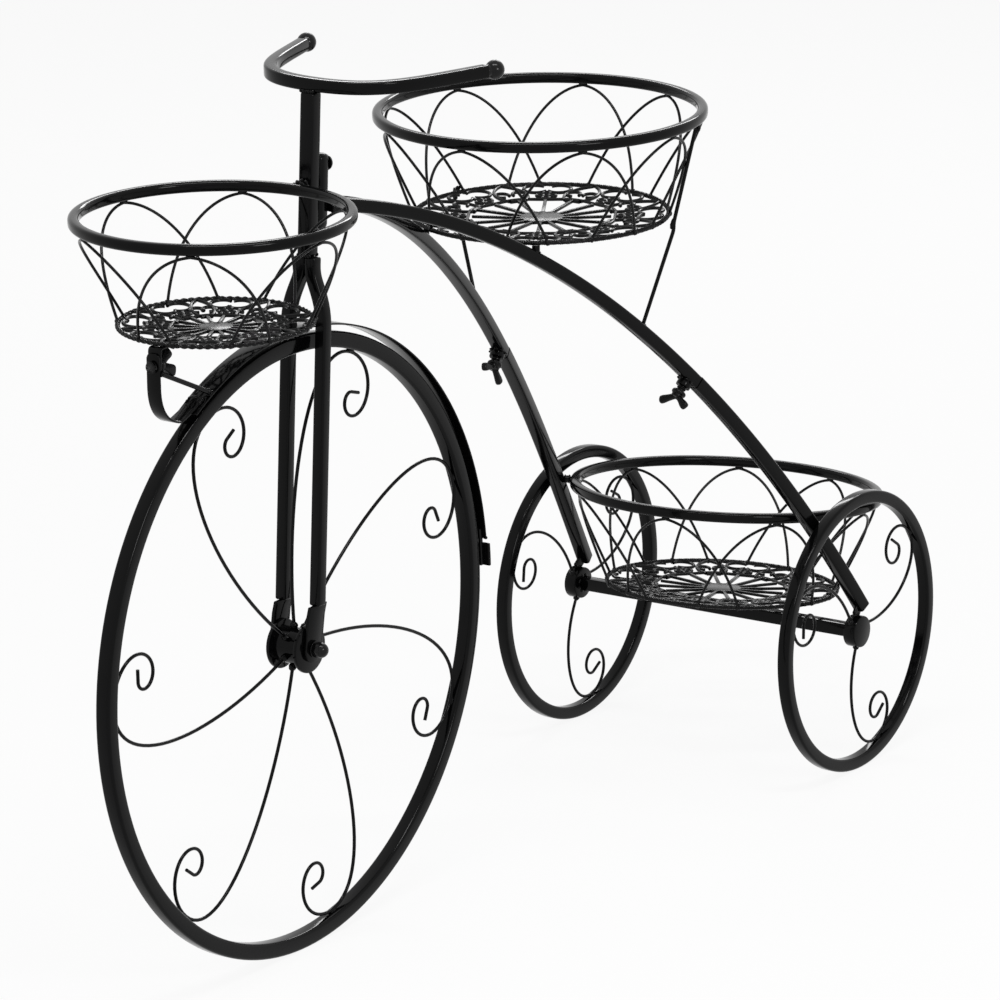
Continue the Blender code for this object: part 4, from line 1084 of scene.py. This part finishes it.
rods = {
    "legWire": 0.003, "legTurn": 16.4, "topOut": {"Left": 0.1230, "Right": 0.1000},
    "topDrop": {"Left": 0.0096, "Right": 0.0792}, "hoopOut": 0.1030, "hoopDrop": 0.0834, "legFoot": 0.485,
    "footUp": 0.0052, "bulgeOut": 0.0022, "bulgeDown": 0.006, "topIn": 0.0016, "bendOut": 0.0006,
    "bend": 0.010, "beadIn": 0.001, "footBead": (0.0050, 0.0050, 0.0034),
    "bendBead": (0.0036, 0.0040, 0.0090), "topBead": (0.0038, 0.0042, 0.0060),
    "post": 0.003, "postFoot": 0.304, "postBeadUp": 0.0004, "postBead": (0.0074, 0.0074, 0.0022),
    "tie": 0.003, "tieTurn": -28.0, "tieReach": 0.0046, "tieBeadIn": 0.0006,
    "tieBead": (0.0072, 0.0066, 0.0022),
}
for side, name, end in bothSides:
    look = baskets["top"]
    ray = sideRay(side, rods["legTurn"])
    centre = Vector((0, look["y"], look["z"]))
    top = centre + ray * rods["topOut"][name] - zDir * rods["topDrop"][name]
    bend = centre + ray * rods["hoopOut"] - zDir * rods["hoopDrop"]
    foot = framePoint(side, rods["legFoot"])
    down = (foot - bend).normalized()
    foot -= down * rods["footUp"]
    bulge = bend + ray * rods["bulgeOut"] + down * rods["bulgeDown"]
    corners = [top - ray * rods["topIn"], bend + ray * rods["bendOut"], bulge, foot]
    leg = addWires([roundCorners(corners, rods["bend"], 8)], rods["legWire"] / 2, 12)
    beads = [(aim(foot, down), rods["footBead"]),
             (aim(bend + down * rods["beadIn"], down, ray), rods["bendBead"]),
             (aim(top - zDir * rods["beadIn"], bend - top, ray), rods["topBead"])]
    finishPiece("topBasketLeg" + name, [leg, addWelds(beads, 53 + side)], powderCoat,
                "top_basket_leg_" + end)

    foot = framePoint(side, rods["postFoot"])
    ray = outwards(foot - centre)
    at = centre + ray * hoopRadius(look)
    low = foot.z + tubes["tube"] / 2
    high = look["z"] - look["depth"] - seam
    post = addPost(rods["post"], high - low, shift(at.x, at.y, low), 24, fineEdge)
    beads = [(shift(at.x, at.y, low + rods["postBeadUp"]), rods["postBead"])]
    finishPiece("topBasketPost" + name, [post, addWelds(beads, 57 + side)], powderCoat,
                "top_basket_post_" + end)

    look = baskets["low"]
    ray = sideRay(side, rods["tieTurn"])
    tieHalf = rods["tieReach"] / 2
    tieMiddle = ray * (look["ring"] + seam + tieHalf) - zDir * basket["tube"] / 2
    place = basketPlace(look) @ aim(tieMiddle, ray, zDir)
    tie = addRod(rods["tie"], rods["tieReach"], place, 24, fineEdge)
    beadOut = tieHalf - rods["tieBeadIn"]
    beads = [(place @ lift(out), rods["tieBead"]) for out in (-beadOut, beadOut)]
    finishPiece("lowBasketTie" + name, [tie, addWelds(beads, 61 + side)], powderCoat,
                "low_basket_tie_" + end)
print("stage: rods")


# Fittings of the front basket

fitting = {
    "spacer": 0.004, "spacerBeadIn": 0.0008, "spacerBead": (0.0040, 0.0036, 0.0028),
    "plateThick": 0.0018, "plateWide": 0.0110, "plateDrop": 0.0165, "plateLength": 0.037, "plateBend": 0.003,
    "plateWeld": {"back": 0.010, "up": 0.0010, "step": 0.0034, "zigzag": 0.003,
                  "bead": (0.0044, 0.0040, 0.0018)},
    "bolt": 0.0025, "boltZ": 0.4735, "head": 0.0046, "dome": 0.0030, "domeLip": 0.0005, "tail": 0.003,
    "hubHeight": 0.0055, "hubEdge": 0.0009, "skirtIn": 0.0004, "skirt": 0.0017, "wingUp": 0.0030,
    "turn": 72.0, "spread": 32.0, "paddle": 0.0150, "wide": 0.0088, "thick": 0.0064,
}
look = baskets["front"]
spacerZ = look["z"] - basket["tube"] / 2
spacerStart = look["y"] + look["ring"] + seam
spacerEnd = onFork((spacerZ - axleZ) / forkUp.z, 0, -fork["stemTube"] / 2).y - 2 * seam
spacerPlace = aim(Vector((0, spacerStart, spacerZ)), yDir)
spacer = addPost(fitting["spacer"], spacerEnd - spacerStart, spacerPlace, 32, smallEdge)
beads = []
for y in (spacerStart + fitting["spacerBeadIn"], spacerEnd - fitting["spacerBeadIn"]):
    for at in arc(fitting["spacer"], 0, 360, 7)[:-1]:
        beads.append((aim(Vector((at.x, y, spacerZ + at.y)), yDir, zDir), fitting["spacerBead"]))
finishPiece("ringSpacer", [spacer, addWelds(beads, 67)], castCoat, "ring_spacer")

tabY = bracketY + bracket["thick"] / 2 + seam + fitting["plateThick"] / 2
tabZ = look["z"] - look["depth"] - seam - fitting["plateThick"] / 2
corners = [(tabY, tabZ - fitting["plateDrop"]), (tabY, tabZ), (tabY + fitting["plateLength"], tabZ)]
path = roundCorners(corners, fitting["plateBend"], 5)
basketTab = addPlate(stripOutline(path, fitting["plateThick"]), fitting["plateWide"], wheelTurn, plainEdge)
weld = fitting["plateWeld"]
beads = beadRow(Vector((0, tabY + weld["back"], tabZ + weld["up"])), xDir * weld["step"], 5, zDir, xDir,
                weld["bead"], yDir * weld["zigzag"])
finishPiece("basketTab", [basketTab, addWelds(beads, 71)], powderCoat, "basket_tab")

headY = bracketY - bracket["thick"] / 2 - seam
nutY = tabY + fitting["plateThick"] / 2 + seam
shankEnd = nutY + fitting["hubHeight"] + fitting["tail"]
headAt = Vector((0, headY, fitting["boltZ"]))
shank = addPost(fitting["bolt"], shankEnd - headY, aim(headAt, yDir), 24, smallEdge)
dome = addDome(fitting["head"], fitting["dome"], aim(headAt, -yDir), fitting["domeLip"])
finishPiece("basketBolt", [shank, dome], boltCoat, "basket_bolt")
nutPlace = aim(Vector((0, nutY, fitting["boltZ"])), yDir)
nutHub = addPost(wing["hub"], fitting["hubHeight"], nutPlace, 36, fitting["hubEdge"])
nutSkirt = addTorus(wing["hub"] - fitting["skirtIn"], fitting["skirt"],
                    nutPlace @ lift(fitting["skirt"]), 36, 12)
nutWings = makeWings(fitting, nutPlace @ turned("Z", fitting["turn"]) @ lift(fitting["wingUp"]))
finishPiece("basketWingNut", [nutHub, nutSkirt, nutWings], castCoat, "basket_wing_nut", "basket_nut")
print("stage: fittings")

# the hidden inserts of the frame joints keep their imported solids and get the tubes' coat
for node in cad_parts.values():
    if node.name.startswith("joint_insert"):
        node.data.materials.clear()
        node.data.materials.append(powderCoat)


# Floor, lights and camera

studio = {
    "floorSize": 60.0, "floorColour": "#f6f6f6", "floorGlow": 0.90, "airTone": 0.35,
    # each softbox: its place, its two sides and its power
    "softboxes": {
        "overheadSoftbox": ((0.5, -0.3, 2.4), (1.5, 0.25), 26.0),
        "sideSoftbox": ((2.2, -0.6, 1.3), (0.6, 0.6), 14.0),
        "backSoftbox": ((-1.2, 2.6, 1.8), (1.4, 0.3), 18.0),
    },
    "lookAt": (0.0, 0.322, 0.299), "azimuth": 33.888, "elevation": 15.436, "roll": 0.849,
    "distance": 4.8676, "lens": 230.71, "sensor": 36.0, "shiftX": -0.04133, "shiftY": -0.0491,
    "farEnd": 100.0,
}


def addSeenDirectly(tree):
    # 1 on rays from the camera, a reflection or a clear material, and 0 on all others
    path = addNode(tree, "ShaderNodeLightPath")
    seen = addNode(tree, "ShaderNodeMath", {"operation": "MAXIMUM"}, {
        0: path.outputs["Is Camera Ray"], 1: path.outputs["Is Glossy Ray"]})
    seenThrough = addNode(tree, "ShaderNodeMath", {"operation": "MAXIMUM"}, {
        0: seen.outputs["Value"], 1: path.outputs["Is Transmission Ray"]})
    return seenThrough.outputs["Value"]


def makePaper():
    deselectAll()
    bpy.ops.mesh.primitive_plane_add(size=studio["floorSize"])
    floor = bpy.context.object
    floor.name = "floor"
    # pale seamless paper: it reads white to the camera and still keeps the stand's soft shadow
    material, tree, shader = newMaterial("matteWhitePaper")
    tree.nodes.remove(shader)
    paper = addNode(tree, "ShaderNodeBsdfDiffuse", None, {"Color": toLinear(studio["floorColour"])})
    glow = addNode(tree, "ShaderNodeEmission", None, {"Color": toLinear("#ffffff"), "Strength": 1.0})
    share = addNode(tree, "ShaderNodeMath", {"operation": "MULTIPLY"}, {
        0: addSeenDirectly(tree), 1: studio["floorGlow"]})
    mix = addNode(tree, "ShaderNodeMixShader", None, {
        0: share.outputs["Value"], 1: paper.outputs["BSDF"], 2: glow.outputs["Emission"]})
    tree.links.new(mix.outputs["Shader"], tree.nodes["Material Output"].inputs["Surface"])
    floor.data.materials.append(material)


def makeAir():
    # white behind the stand for the camera, a plain grey room for everything else
    world = bpy.data.worlds.new("studioAir")
    world.use_nodes = True
    tree = world.node_tree
    strength = addNode(tree, "ShaderNodeMapRange", None, {
        "Value": addSeenDirectly(tree), "To Min": studio["airTone"], "To Max": 1.0})
    background = tree.nodes["Background"]
    background.inputs["Color"].default_value = toLinear("#ffffff")
    tree.links.new(strength.outputs["Result"], background.inputs["Strength"])
    bpy.context.scene.world = world


def addSoftbox(name, at, size, power):
    lamp = bpy.data.lights.new(name, "AREA")
    lamp.shape = "RECTANGLE"
    lamp.size, lamp.size_y = size
    lamp.energy = power
    # the long side runs across the view, so that the tubes catch long thin lights
    across = Vector((*polar(1, studio["azimuth"]), 0))
    addObject(name, lamp).matrix_world = aim(at, Vector(at) - Vector(studio["lookAt"]), across)


def makeCamera():
    # back points from the stand to the camera; roll turns the picture about it
    back = turned("Z", studio["azimuth"]) @ turned("X", -studio["elevation"]) @ -yDir
    right = zDir.cross(back).normalized()
    up = back.cross(right)
    roll = polar(1, studio["roll"])
    turn = Matrix((right * roll.x - up * roll.y, right * roll.y + up * roll.x, back)).transposed().to_4x4()
    lens = bpy.data.cameras.new("photoCamera")
    lens.lens = studio["lens"]
    lens.sensor_width = studio["sensor"]
    lens.shift_x = studio["shiftX"]
    lens.shift_y = studio["shiftY"]
    lens.clip_end = studio["farEnd"]
    camera = addObject("photoCamera", lens)
    camera.matrix_world = Matrix.Translation(Vector(studio["lookAt"]) + back * studio["distance"]) @ turn
    bpy.context.scene.camera = camera


makePaper()
makeAir()
for name, (at, size, power) in studio["softboxes"].items():
    addSoftbox(name, at, size, power)
makeCamera()
bpy.context.scene.view_settings.view_transform = "Standard"
print("stage: floor, lights and camera ready")
